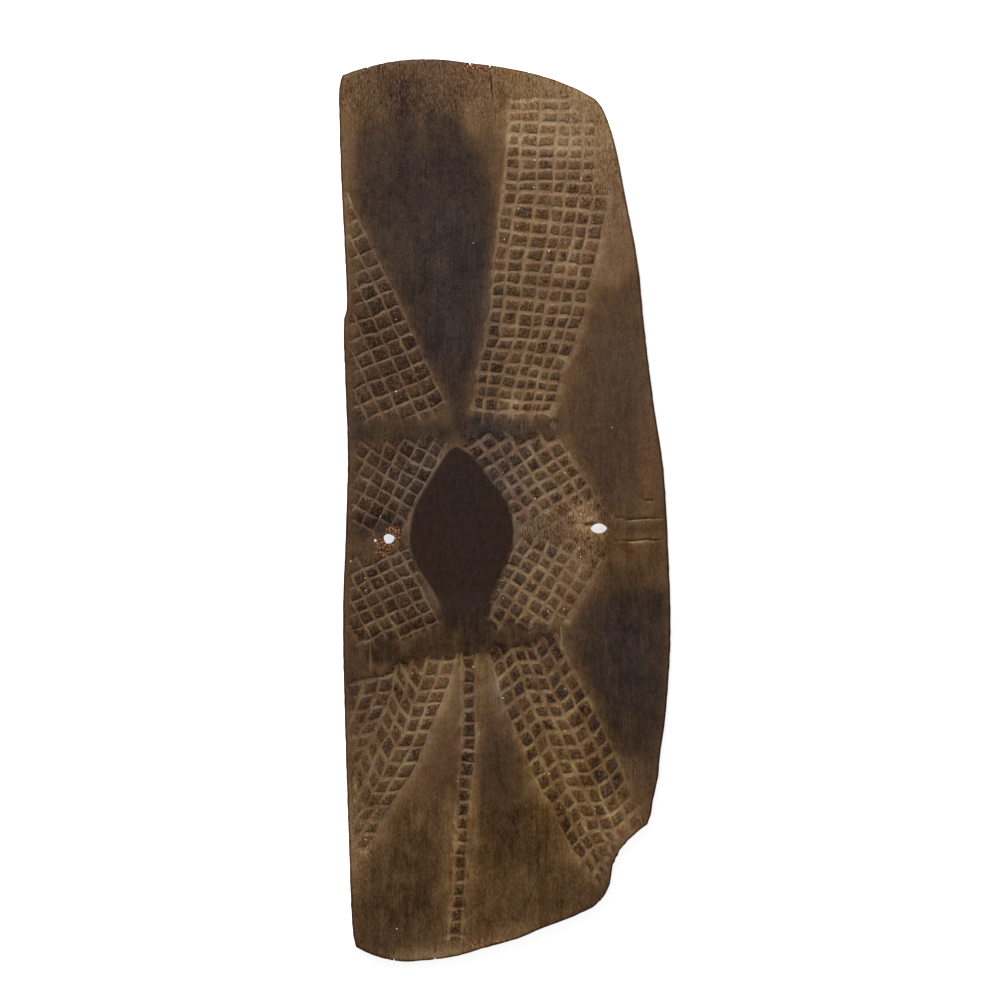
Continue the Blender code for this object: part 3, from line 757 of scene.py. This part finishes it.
depth += FRAY_DEPTH * frayed * (1 + uneven(x, y, 0.0020, 0.010, 7))
height = np.minimum(front_height(x, y) - depth, MIDDLE_THICKNESS - 0.0001)
off_layer, shows_layer, kept_layer = (floats.new(name) for name in ("off", "shows", "kept"))
stray = ramp(clear, 0.001, 0.005)
for vert, dx, dy, z, *found in zip(board.verts, stray * stray_x, stray * stray_y, height, off, shows, kept):
    vert.co = (vert.co.x + dx, vert.co.y + dy, z)
    vert[off_layer], vert[shows_layer], vert[kept_layer] = found


# The rim. Handling has rounded it over, nicked it and splintered it at the break. It is rolled from the
# front to the back in a few rings, each given by how far in it lies and what share of the height it has.
RIM_SHAPE = [
    (0.62, 0.965), (0.28, 0.87), (0.06, 0.70), (0.0, 0.47), (0.12, 0.24), (0.40, 0.07), (0.80, 0.0),
]
ring = [vert for vert in board.verts if vert.is_boundary]
start = {vert: vert.co.copy() for vert in ring}
for step, (left, share) in enumerate(RIM_SHAPE):
    made = bmesh.ops.extrude_edge_only(board, edges=[edge for edge in board.edges if edge.is_boundary])
    fresh = [vert for vert in made["geom"] if isinstance(vert, bmesh.types.BMVert)]
    new = set(fresh)
    moved = {}
    for vert in fresh:
        parent = next(edge.other_vert(vert) for edge in vert.link_edges if edge.other_vert(vert) not in new)
        spot = start[parent]
        way = Vector((vert[way_x], vert[way_y]))
        torn = float(near(spot.x, spot.y, BROKEN_CORNER, 0.060, 0.050, 4))
        nick = 0.00035 * (1 + uneven(spot.x, spot.y, 0.009, 0.009, 11 + step // 2))
        nick += 0.0014 * torn * (1 + uneven(spot.x, spot.y, 0.0024, 0.030, 14 + step // 2))
        vert.co.xy = spot.xy - way * (vert[room] * (1 - left) - min(nick, 0.8 * vert[room]))
        vert.co.z = spot.z * share
        vert[side] = (step + 1) / len(RIM_SHAPE)
        moved[vert] = spot
    start = moved


# The back. It is flat and plain, with only the shallow marks of the adze, and closes the plank from the
# rim's last ring. The three holes stay open.
BACK_SPACING = 0.0095
open_edges = [edge for edge in board.edges if edge.is_boundary]
ring = [vert for vert in board.verts if vert.is_boundary]
order = {vert: k for k, vert in enumerate(ring)}
loops_below = [(order[edge.verts[0]], order[edge.verts[1]]) for edge in open_edges]
points = [vert.co.xy for vert in ring]
inner = staggered(BACK_SPACING)
inner = inner[clear_distance(inner, loops) > 0.55 * BACK_SPACING]
points += [Vector(spot) for spot in inner]
spots, _, faces, sources, _, _ = delaunay_2d_cdt(points, loops_below, [], 1, 1e-7)
corners = []
for spot, source in zip(spots, sources):
    known = [k for k in source if k < len(ring)]
    if known:
        corners.append(ring[known[0]])
        continue
    hollow = 0.0009 * adze_marks(spot.x, spot.y, 0.030, 0.052, 17)
    hollow += 0.0002 * (1 + uneven(spot.x, spot.y, 0.02, 0.09, 18))
    corner = board.verts.new((spot.x, spot.y, float(hollow)))
    corner[side] = 1.0
    corners.append(corner)
flat = np.array([tuple(spot) for spot in spots])
middles = np.array([flat[list(face)].mean(0) for face in faces])
starts, ends = zip(*[(points[a], points[b]) for a, b in loops_below])
for face, solid in zip(faces, is_within(middles, starts, ends)):
    if solid:
        board.faces.new([corners[k] for k in reversed(face)])
bmesh.ops.recalc_face_normals(board, faces=board.faces)


# The colour. The brown wood is stained dark in the left fan, down the right side and in the two bands,
# and worn pale up the right. Soot greys parts of it, hands have oiled others, and where it is torn, cut
# through or rubbed at the ends it is raw.
BASE_TONE = 66
STAINS = [
    # lighter or darker, how soft its edge is, and its outline
    (-16, 0.014, [
        (-0.208, 0.606), (-0.100, 0.622), (-0.056, 0.575), (-0.022, 0.511), (-0.016, 0.434), (-0.032, 0.341),
        (-0.047, 0.248), (-0.060, 0.179), (-0.073, 0.134), (-0.100, 0.194), (-0.138, 0.279), (-0.177, 0.364),
        (-0.216, 0.442), (-0.236, 0.496), (-0.230, 0.573),
    ]),
    (-17, 0.016, [
        (0.135, -0.135), (0.205, -0.122), (0.253, -0.128), (0.256, -0.169), (0.250, -0.293), (0.230, -0.386),
        (0.186, -0.378), (0.148, -0.309), (0.117, -0.231), (0.098, -0.200), (0.110, -0.160),
    ]),
    (20, 0.016, [
        (0.155, 0.625), (0.195, 0.560), (0.215, 0.420), (0.180, 0.350), (0.145, 0.340), (0.138, 0.372),
        (0.150, 0.480),
    ]),
    (-10, 0.007, [
        (-0.236, 0.143), (-0.084, 0.132), (-0.066, 0.143), (0.078, 0.143), (0.086, 0.115), (-0.053, 0.109),
        (-0.076, 0.118), (-0.100, 0.106), (-0.236, 0.109),
    ]),
    (-16, 0.007, [
        (-0.205, -0.188), (-0.106, -0.165), (-0.096, -0.130), (-0.032, -0.130), (-0.018, -0.160),
        (0.078, -0.182), (0.086, -0.224), (0.047, -0.231), (-0.038, -0.224), (-0.100, -0.225),
        (-0.162, -0.237), (-0.216, -0.231),
    ]),
    (36, 0.022, [
        (0.010, 0.652), (0.155, 0.652), (0.150, 0.610), (0.150, 0.562), (0.004, 0.562),
    ]),
    (20, 0.022, [
        (0.004, 0.562), (0.150, 0.562), (0.145, 0.430), (0.130, 0.370), (-0.015, 0.370), (-0.008, 0.430),
    ]),
    (12, 0.016, [
        (-0.015, 0.370), (0.125, 0.370), (0.080, 0.150), (-0.048, 0.150),
    ]),
]
# Patches of wear and stain, with one patch of painted shadow in the scoop by the eye hole.
WEAR_AND_SHADE = [
    # lighter or darker, x, y, its reach across and along, and its turn in degrees
    (8, -0.050, 0.675, 0.250, 0.020, 0),
    (16, 0.070, 0.668, 0.090, 0.022, -12),
    (-9, -0.150, 0.668, 0.045, 0.012, 0),
    (-14, -0.163, 0.640, 0.030, 0.030, 0),
    (12, -0.130, 0.611, 0.008, 0.013, 0),
    (14, -0.035, 0.610, 0.035, 0.040, 0),
    (16, 0.168, 0.590, 0.014, 0.040, 12),
    (-10, 0.054, 0.556, 0.030, 0.014, 0),
    (14, -0.245, 0.530, 0.018, 0.160, 0),
    (-12, 0.053, 0.374, 0.030, 0.022, 0),
    (-14, -0.020, 0.280, 0.015, 0.032, 0),
    (-10, -0.115, 0.250, 0.014, 0.030, -20),
    (-12, -0.034, 0.205, 0.028, 0.070, 0),
    (16, 0.020, 0.163, 0.024, 0.018, -25),
    (-7, -0.020, 0.130, 0.030, 0.020, 0),
    (-6, 0.185, 0.110, 0.040, 0.060, 0),
    (-9, 0.142, 0.070, 0.022, 0.050, 20),
    (12, 0.222, 0.050, 0.016, 0.120, 0),
    (16, 0.070, 0.030, 0.065, 0.080, 0),
    (40, 0.126, -0.016, 0.020, 0.026, 10),
    (-16, -0.200, -0.022, 0.036, 0.022, 0),
    # Painted shadow: a dark patch in the scoop beside the eye hole.
    (-30, 0.1255, -0.0225, 0.0055, 0.003, 0),
    (-14, 0.205, -0.030, 0.030, 0.009, 0),
    (8, 0.200, -0.035, 0.050, 0.016, 0),
    (8, 0.190, -0.070, 0.040, 0.014, 0),
    (16, 0.116, -0.080, 0.028, 0.036, 0),
    (-8, 0.190, -0.100, 0.045, 0.030, 0),
    (16, 0.075, -0.130, 0.060, 0.080, 0),
    (10, -0.110, -0.188, 0.055, 0.014, 0),
    (-12, -0.065, -0.190, 0.045, 0.040, 0),
    (-10, -0.240, -0.262, 0.012, 0.060, 0),
    (20, -0.095, -0.280, 0.022, 0.050, -15),
    (14, -0.022, -0.280, 0.020, 0.045, 0),
    (12, -0.238, -0.350, 0.012, 0.050, 0),
    (12, 0.090, -0.360, 0.050, 0.160, 25),
    (14, -0.160, -0.370, 0.065, 0.130, -25),
    (14, 0.050, -0.395, 0.014, 0.040, 25),
    (14, -0.050, -0.440, 0.010, 0.080, 3),
    (-10, -0.005, -0.450, 0.040, 0.090, 8),
    (13, 0.056, -0.450, 0.018, 0.034, 20),
    (14, -0.131, -0.479, 0.005, 0.018, -20),
    (20, 0.192, -0.485, 0.026, 0.050, 20),
    (-5, 0.040, -0.500, 0.040, 0.080, 20),
    (-5, -0.125, -0.500, 0.040, 0.050, 0),
    (10, 0.165, -0.500, 0.030, 0.030, 0),
    (14, -0.237, -0.510, 0.012, 0.080, 0),
    (12, 0.125, -0.520, 0.040, 0.035, 20),
    (-6, 0.010, -0.530, 0.045, 0.050, 20),
    (20, -0.085, -0.540, 0.016, 0.090, 0),
    (12, -0.226, -0.540, 0.018, 0.050, 0),
    (-9, -0.112, -0.540, 0.045, 0.050, 0),
    (-8, -0.160, -0.600, 0.060, 0.060, 0),
    (14, 0.010, -0.655, 0.040, 0.014, 18),
    (32, -0.070, -0.690, 0.150, 0.020, 6),
]
SOOT = [
    # how grey the wood is, x, y, its reach across and along, and its turn in degrees
    (0.55, -0.130, 0.470, 0.090, 0.170, 0),
    (1.00, -0.075, 0.340, 0.050, 0.130, 0),
    (0.75, -0.020, 0.128, 0.050, 0.024, 0),
    (0.45, -0.230, 0.120, 0.030, 0.030, 0),
    (0.50, 0.180, 0.200, 0.040, 0.070, 0),
    (0.60, 0.190, -0.230, 0.055, 0.085, 15),
    (1.00, -0.068, 0.020, 0.110, 0.085, 0),
    (0.45, -0.068, -0.110, 0.080, 0.050, 0),
    (0.15, -0.020, -0.370, 0.020, 0.090, 0),
    (0.45, -0.010, -0.285, 0.012, 0.035, 15),
]
OILED = [
    (0.60, -0.130, -0.560, 0.120, 0.130, 0),
    (0.62, 0.050, -0.540, 0.130, 0.150, 0),
    (0.45, 0.090, -0.380, 0.090, 0.120, 20),
    (0.50, -0.100, -0.210, 0.120, 0.050, 0),
    (0.45, -0.180, 0.620, 0.070, 0.050, 0),
    (0.45, -0.010, 0.640, 0.060, 0.060, 0),
    (0.50, 0.195, -0.060, 0.060, 0.060, 0),
]
COARSE = [
    # how coarse the wood has worn, x, y, its reach across and along, and its turn in degrees
    (1.00, 0.085, -0.030, 0.075, 0.040, 0),
    (1.00, 0.128, -0.030, 0.026, 0.060, 0),
    (0.70, -0.222, -0.480, 0.026, 0.120, 0),
    (1.00, 0.150, 0.560, 0.050, 0.120, 0),
]
RAW = [
    # how raw the wood is, x, y, its reach across and along, and its turn in degrees
    (1.00, -0.172, -0.036, 0.014, 0.014, 0),
    (1.00, -0.186, -0.057, 0.015, 0.016, 0),
    (0.30, 0.205, -0.034, 0.060, 0.013, 0),
    (0.48, 0.122, -0.028, 0.024, 0.055, 0),
    (0.35, -0.236, -0.600, 0.008, 0.080, 0),
    (0.40, -0.238, 0.655, 0.010, 0.020, 0),
    (0.35, 0.045, 0.160, 0.040, 0.012, 0),
]
RAW_ENDS = [
    # the same at the top and the foot, where the patches end more sharply
    (1.00, -0.044, 0.688, 0.022, 0.010, 0),
    (0.70, -0.016, -0.672, 0.044, 0.008, 0),
]
BACK_TONE = 70
DUSTY_CUT, PALER_BY_EDGE = 13, 10


def patches(x, y, spots, power=3):
    """The sum of soft patches. The higher the power, the more sharply each one ends."""
    found = np.zeros(np.shape(x))
    for amount, spot_x, spot_y, reach_x, reach_y, turn in spots:
        cos, sin = math.cos(math.radians(turn)), math.sin(math.radians(turn))
        along_x = (x - spot_x) * cos + (y - spot_y) * sin
        along_y = (y - spot_y) * cos - (x - spot_x) * sin
        found += amount * near(along_x, along_y, (0, 0), reach_x, reach_y, power)
    return found


def stained(x, y):
    """How light the wood is, from 0, black, to 255, white."""
    tone = np.full(np.shape(x), float(BASE_TONE))
    for amount, soft, points in STAINS:
        loop = smooth_through([Vector(spot) for spot in points + points[:1]], 0.030)
        tone += amount * eased(ramp(inside_by(x, y, loop), -soft, soft))
    return tone + patches(x, y, WEAR_AND_SHADE)


def stand(name, data):
    """A new object in the scene."""
    thing = bpy.data.objects.new(name, data)
    bpy.context.scene.collection.objects.link(thing)
    return thing


mesh = bpy.data.meshes.new("carved_board")
board.to_mesh(mesh)
spots = np.array([vert.co for vert in board.verts])
across, along = spots[:, 0], spots[:, 1]
turned = layer_values(side)
split, rise, carved = (layer_values(marks[name]) for name in ("split", "rise", "carved"))
off, shows, kept = (layer_values(layer) for layer in (off_layer, shows_layer, kept_layer))
board.free()
clear = clear_distance(spots[:, :2], [outline] + holes)
to_diamond = inside_by(across, along, diamond)
clear_cut = eased(ramp(along, -0.172, -0.122))
greyed = ramp(across, -0.085, -0.115) * ramp(along, -0.23, -0.19)
soot = patches(across, along, SOOT)
oiled = patches(across, along, OILED)
tone = stained(across, along)
tone += DUSTY_CUT * np.minimum(1, shows) * np.exp(-((off / 2.4) ** 2)) * np.clip(1 - 4 * carved, 0, 1)
# Lighter in a narrow band along the plank's edge and round its holes.
tone += PALER_BY_EDGE * by_edge(clear, 0.006)
back = ramp(turned, 0.4, 1.0)
end_grain = ramp(np.abs(along + 0.02 * np.abs(across)), 0.615, 0.635)
end_grain *= by_edge(clear, 0.016)
# The rounded rim: painted shade darkens it where the edge turns away, and it is also coloured orange.
rim_shade_and_orange = ramp(turned, 0, 0.25) * (1 - 0.8 * back)
coarse = ramp(along, 0.585, 0.635) + patches(across, along, COARSE, 4)
coarse = np.maximum(np.clip(coarse, 0, 1), np.clip((-0.44 - along) / 0.05, 0, 0.35))
handled = BACK_TONE + 6 * uneven(across, along, 0.09, 0.2, 19) + 5 * uneven(across, along, 0.03, 0.11, 20)
tone = tone * (1 - back) + handled * back
raw = patches(across, along, RAW, 4) + patches(across, along, RAW_ENDS, 6)
raw += near(across, along, BROKEN_CORNER, 0.060, 0.045, 4) * by_edge(clear, 0.004)

# The back has none of the front's diamond, soot, oil or coarse grain.
front = 1 - back
FINISH = {
    "tone": tone / 255,
    "off": off,
    "shows": shows,
    "carved": carved * kept,
    "diamond": to_diamond - 0.2 * back,
    "clear_cut": clear_cut,
    "raw": np.clip(raw, 0, 1) * (1 - 0.5 * back),
    "soot": np.clip(soot, 0, 1) * front,
    "oiled": np.clip(oiled, 0, 1) * front,
    "coarse": coarse * front,
    "split": split,
    "end_grain": end_grain,
    "rim_shade_and_orange": rim_shade_and_orange,
    "luck": rise,
    "greyed": greyed,
}
for name, values in FINISH.items():
    attribute = mesh.attributes.get(name) or mesh.attributes.new(name, "FLOAT", "POINT")
    attribute.data.foreach_set("value", np.ascontiguousarray(values, np.float32))
mesh.shade_smooth()
mesh.set_sharp_from_angle(angle=math.radians(50))
carved_board = stand("carved_board", mesh)


# The finish of the old wood: stain, dust in the cuts, streaks along the grain, scratches and specks, with
# painted glints among the squares and painted shade on the rim.
# Each list of colours runs from the darkest stain to the palest worn wood.
WOOD_COLOURS = [
    (0.130, (0.0090, 0.0050, 0.0036)),
    (0.162, (0.0175, 0.0088, 0.0052)),
    (0.189, (0.0245, 0.0145, 0.0100)),
    (0.209, (0.0375, 0.0195, 0.0085)),
    (0.251, (0.0570, 0.0305, 0.0165)),
    (0.292, (0.0860, 0.0445, 0.0185)),
    (0.353, (0.1220, 0.0720, 0.0355)),
    (0.421, (0.1790, 0.1100, 0.0560)),
    (0.507, (0.2540, 0.1720, 0.1010)),
    (0.610, (0.3660, 0.2700, 0.1780)),
]
RAW_COLOURS = [
    (0.150, (0.0260, 0.0085, 0.0040)),
    (0.300, (0.0950, 0.0360, 0.0140)),
    (0.420, (0.1750, 0.0800, 0.0340)),
    (0.600, (0.3300, 0.2000, 0.1050)),
]
SOOT_COLOURS = [
    (0.130, (0.0100, 0.0055, 0.0040)),
    (0.162, (0.0148, 0.0084, 0.0068)),
    (0.200, (0.0262, 0.0176, 0.0146)),
    (0.250, (0.0487, 0.0326, 0.0227)),
    (0.300, (0.0759, 0.0504, 0.0353)),
    (0.420, (0.1680, 0.1160, 0.0760)),
]
OILED_COLOURS = [
    (0.130, (0.0150, 0.0060, 0.0010)),
    (0.189, (0.0400, 0.0170, 0.0030)),
    (0.251, (0.0660, 0.0325, 0.0085)),
    (0.320, (0.1050, 0.0560, 0.0180)),
    (0.421, (0.1900, 0.1120, 0.0400)),
    (0.550, (0.3150, 0.2100, 0.0950)),
]
DIAMOND_TONE = 0.170

wood = bpy.data.materials.new("old_carved_wood")
wood.use_nodes = True
tree = wood.node_tree
shader = tree.nodes["Principled BSDF"]
place = tree.nodes.new("ShaderNodeTexCoord").outputs["Object"]


class Level:
    """A number that varies over the surface. Arithmetic on it adds nodes to the material."""

    def __init__(self, socket):
        self.socket = socket

    def __add__(self, other):
        return sums("ADD", self, other)

    def __sub__(self, other):
        return sums("SUBTRACT", self, other)

    def __rsub__(self, other):
        return sums("SUBTRACT", other, self)

    def __mul__(self, other):
        return sums("MULTIPLY", self, other)

    __radd__, __rmul__ = __add__, __mul__

    def feed(self, socket):
        tree.links.new(self.socket, socket)


def sums(operation, *values, clamp=False):
    """The result of one piece of arithmetic on levels or numbers."""
    node = tree.nodes.new("ShaderNodeMath")
    node.operation, node.use_clamp = operation, clamp
    for socket, value in zip(node.inputs, values):
        if isinstance(value, Level):
            value.feed(socket)
        else:
            socket.default_value = value
    return Level(node.outputs[0])


def mark(name):
    """What a mark on the mesh says."""
    node = tree.nodes.new("ShaderNodeAttribute")
    node.attribute_name = name
    return Level(node.outputs["Fac"])


def fibres(scale, detail=3.0, rough=0.55, warp=0.0, shift=0.0):
    """Noise, stretched as its three scales say, evened out round nought."""
    mapping = tree.nodes.new("ShaderNodeMapping")
    mapping.inputs["Scale"].default_value = scale
    mapping.inputs["Location"].default_value = (shift, shift, shift)
    tree.links.new(place, mapping.inputs["Vector"])
    noise = tree.nodes.new("ShaderNodeTexNoise")
    noise.inputs["Scale"].default_value = 1.0
    noise.inputs["Detail"].default_value = detail
    noise.inputs["Roughness"].default_value = rough
    noise.inputs["Distortion"].default_value = warp
    tree.links.new(mapping.outputs[0], noise.inputs["Vector"])
    return Level(noise.outputs["Fac"]) - 0.5


def between(value, low, high):
    """0 below low, 1 above high and smooth between."""
    node = tree.nodes.new("ShaderNodeMapRange")
    node.interpolation_type = "SMOOTHSTEP"
    value.feed(node.inputs["Value"])
    node.inputs["From Min"].default_value = low
    node.inputs["From Max"].default_value = high
    return Level(node.outputs[0])


def cells(scale, dimensions="3D"):
    """Scattered cells: how far a spot is from its cell's middle, and two numbers of that cell's own."""
    node = tree.nodes.new("ShaderNodeTexVoronoi")
    node.voronoi_dimensions = dimensions
    node.inputs["Scale"].default_value = scale
    tree.links.new(place, node.inputs["Vector"])
    parts = tree.nodes.new("ShaderNodeSeparateColor")
    tree.links.new(node.outputs["Color"], parts.inputs[0])
    return Level(node.outputs["Distance"]), Level(parts.outputs[0]), Level(parts.outputs[1])


def colours(value, stops):
    """The colour that belongs to a value, from stops of value and colour."""
    node = tree.nodes.new("ShaderNodeValToRGB")
    while len(node.color_ramp.elements) < len(stops):
        node.color_ramp.elements.new(0.5)
    for element, (position, colour) in zip(node.color_ramp.elements, stops):
        element.position, element.color = position, colour + (1.0,)
    value.feed(node.inputs["Fac"])
    return node.outputs["Color"]


def mixed(amount, below, above):
    """One colour laid over another."""
    node = tree.nodes.new("ShaderNodeMix")
    node.data_type = "RGBA"
    amount.feed(node.inputs["Factor"])
    tree.links.new(below, node.inputs[6])
    tree.links.new(above, node.inputs[7])
    return node.outputs[2]


# The noises of old wood, from its streaks and blotches down to specks and fine scratches.
grain = fibres((520, 22, 60), 4, 0.65, 0.4)
streaks = fibres((110, 7, 30), 4, 0.60, 0.8, 3.1)
mottle = fibres((130, 90, 130), 4, 0.62, 0.4, 7.7)
blots = fibres((38, 26, 38), 4, 0.58, 0.6, 9.4)
clouds = fibres((14, 9, 14), 3, 0.55, 0.4, 5.2)
ragged = fibres((330, 260, 330), 3, 0.62, 0.3, 4.4)
speckle = fibres((800, 420, 800), 2, 0.6, 0.0, 1.3)
chisel = fibres((700, 130, 700), 2, 0.6, 0.4, 8.2)
scrapes = fibres((130, 700, 700), 2, 0.6, 0.4, 2.7)

# Dust. It is palest on the floors of the cuts and high on their walls, and thin along the very middle.
off = mark("off") + mottle * 1.1 + ragged * 0.8
walls = 1.0 - between(off, 0.62, 1.05)
floors = 1.0 - between(off, 0.28, 0.56)
core = 1.0 - between(off, 0.05, 0.35)
ridges = between(off, 0.50, 0.70) * (1.0 - between(off, 0.78, 0.95))
pale = walls * 0.030 + floors * (0.050 + blots * 0.20)
pale += ridges * (0.030 + mottle * 0.45)
pale -= core * (0.010 + mottle * 0.30)
dust = mark("shows") * pale
tone = mark("tone") + dust

# The raised squares. They are darkest in the middle, and no two are quite alike.
middle = between(off, 1.3, 2.1)
cut_wood = mark("carved") * (1.0 - walls)
darkened = cut_wood * (0.85 + middle * 0.55)
tone -= darkened * (0.040 + mottle * 0.10 + mark("luck") * 0.010)

# The grain, the oiled streaks and the scratches, rougher where the wood is carved or worn coarse.
for noise, amount in ((grain, 0.10), (streaks, 0.040), (blots, 0.08), (clouds, 0.07), (mottle, 0.08)):
    tone += noise * amount
tone += (streaks * 0.17 + blots * 0.19) * mark("oiled")
rough = 0.62 + mark("carved") * 0.20 + mark("coarse") * 0.7 - floors * 0.4
tone += (ragged * 0.15 + speckle * 0.20) * rough
tone += chisel * (0.08 + cut_wood * 0.20) + scrapes * cut_wood * 0.22
_, facet, _ = cells(340.0)
tone += (facet - 0.5) * (0.010 + cut_wood * 0.070) + chisel * mark("coarse") * 0.36

# The diamond. It is plain and evenly dark inside a thin paler line.
border = mark("diamond") + (mottle + ragged) * 0.0045
inside = between(border, -0.0018, 0.0030) * mark("clear_cut")
halo = between(border, -0.0085, -0.0010) * (mark("clear_cut") - inside)
tone += halo * 0.036
calm = DIAMOND_TONE + grain * 0.05 + mottle * 0.05 + (speckle + ragged) * 0.05
tone = tone * (1.0 - inside) + calm * inside

# Dark lines in the splits and the end grain, and painted shade that darkens the rounded rim all round.
tone -= between(mark("split"), 0.1, 0.7) * 0.25
checks = between(fibres((420, 9, 40), 2, 0.5, 0.2, 6.1), 0.08, 0.20)
tone -= checks * mark("end_grain") * 0.11
tone -= mark("rim_shade_and_orange") * 0.15

# The colours. Oil warms the brown wood, soot and the tops of some squares are greyer, and raw wood and
# the rim are orange.
colour = mixed(mark("oiled"), colours(tone, WOOD_COLOURS), colours(tone, OILED_COLOURS))
sooty = sums("ADD", mark("soot"), mottle * 0.8, clamp=True)
cool = sums("MULTIPLY", cut_wood * middle, mark("luck") * (1.2 - mark("greyed")), clamp=True)
colour = mixed(sums("MAXIMUM", sooty, cool), colour, colours(tone, SOOT_COLOURS))
torn = between(mark("raw") + mottle * 1.4, 0.30, 0.75)
torn_tone = tone + (ragged * 1.3 + speckle * 0.9) * torn
reddish = between(fibres((55, 40, 55), 3, 0.6, 0.3, 2.2), 0.0, 0.3) * 0.35
reddish = sums("MAXIMUM", reddish, mark("rim_shade_and_orange") * 0.6)
colour = mixed(sums("MAXIMUM", torn, reddish), colour, colours(torn_tone, RAW_COLOURS))

# The hue drifts a little from spot to spot, and what is darker than the wood round it is stronger.
lighter = tone - mark("tone")
hues = fibres((150, 110, 150), 2, 0.6, 0.3, 6.6)
hue = 0.5 + hues * (0.06 + mark("carved") * 0.025) + dust * (-0.04 + blots * 0.9)
strength = 1.0 - lighter * (0.2 + mark("greyed") * 0.7) - ragged * mark("carved") * 1.2
strength += sums("MAXIMUM", 0.0, lighter * -2.0)
warmth = tree.nodes.new("ShaderNodeHueSaturation")
hue.feed(warmth.inputs["Hue"])
strength.feed(warmth.inputs["Saturation"])
tree.links.new(colour, warmth.inputs["Color"])

# Painted glints: small white specks that stand in for highlights, a few of them, mostly among the squares.
from_middle, lot, whiteness = cells(42.0, "2D")
rare = 0.985 - mark("carved") * 0.12
painted_glint = sums("LESS_THAN", from_middle, 0.040) * sums("GREATER_THAN", lot, rare)
glint_colour = tree.nodes.new("ShaderNodeRGB")
glint_colour.outputs[0].default_value = (0.72, 0.68, 0.62, 1)
colour = mixed(painted_glint * whiteness, warmth.outputs["Color"], glint_colour.outputs[0])
tree.links.new(colour, shader.inputs["Base Color"])

# The gloss, duller in the dust, and the finest relief.
shader.inputs["Specular IOR Level"].default_value = 0.12
gloss = sums("ADD", 0.56 + dust * 1.6, mottle * 0.3, clamp=True)
gloss.feed(shader.inputs["Roughness"])
relief = grain * 1.2 + ragged * 0.8 + speckle * 0.4 + chisel * mark("carved")
bump = tree.nodes.new("ShaderNodeBump")
bump.inputs["Strength"].default_value = 0.7
bump.inputs["Distance"].default_value = 0.0006
relief.feed(bump.inputs["Height"])
tree.links.new(bump.outputs["Normal"], shader.inputs["Normal"])
mesh.materials.append(wood)
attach(carved_board, "root")
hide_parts("shield_board")


# The floor, a plain pale sweep that the shield lies on, and soft light from beyond its top.
floor_mesh = bpy.data.meshes.new("floor")
sheet = bmesh.new()
bmesh.ops.create_grid(sheet, x_segments=1, y_segments=1, size=12)
bmesh.ops.translate(sheet, verts=sheet.verts, vec=(0, 0, -0.0003))
sheet.to_mesh(floor_mesh)
sheet.free()
floor = stand("floor", floor_mesh)
floor_paint = bpy.data.materials.new("pale_floor")
floor_paint.use_nodes = True
paint = floor_paint.node_tree.nodes["Principled BSDF"]
paint.inputs["Base Color"].default_value = (0.92, 0.92, 0.91, 1)
paint.inputs["Roughness"].default_value = 0.9
paint.inputs["Emission Color"].default_value = (1, 1, 1, 1)
paint.inputs["Emission Strength"].default_value = 0.66
floor_mesh.materials.append(floor_paint)


def soft_light(name, spot, size, power):
    """A round soft light at a spot, turned towards the middle of the shield."""
    lamp = bpy.data.lights.new(name, "AREA")
    lamp.shape, lamp.size, lamp.energy = "DISK", size, power
    light = stand(name, lamp)
    light.location = spot
    light.rotation_euler = (-Vector(spot)).to_track_quat("-Z", "Y").to_euler()


soft_light("window", (-2.6, 7.0, 4.1), 1.7, 1375)
soft_light("fill", (2.6, -2.2, 3.4), 3.0, 45)
world = bpy.data.worlds.new("studio")
world.use_nodes = True
world.node_tree.nodes["Background"].inputs["Color"].default_value = (1.0, 1.0, 1.0, 1)
world.node_tree.nodes["Background"].inputs["Strength"].default_value = 0.22
bpy.context.scene.world = world
bpy.context.scene.view_settings.view_transform = "Standard"

# The eye. It looks straight down on the shield from far enough away to see it almost without
# perspective, and takes in a square a little larger than it.
VIEW_FIELD = 1.547
VIEW_HEIGHT = 6.0
eye = bpy.data.cameras.new("camera")
eye.sensor_width = 36
eye.lens = eye.sensor_width * VIEW_HEIGHT / VIEW_FIELD
camera = stand("camera", eye)
camera.location = (-0.007, 0.016, VIEW_HEIGHT + MIDDLE_THICKNESS)
bpy.context.scene.camera = camera
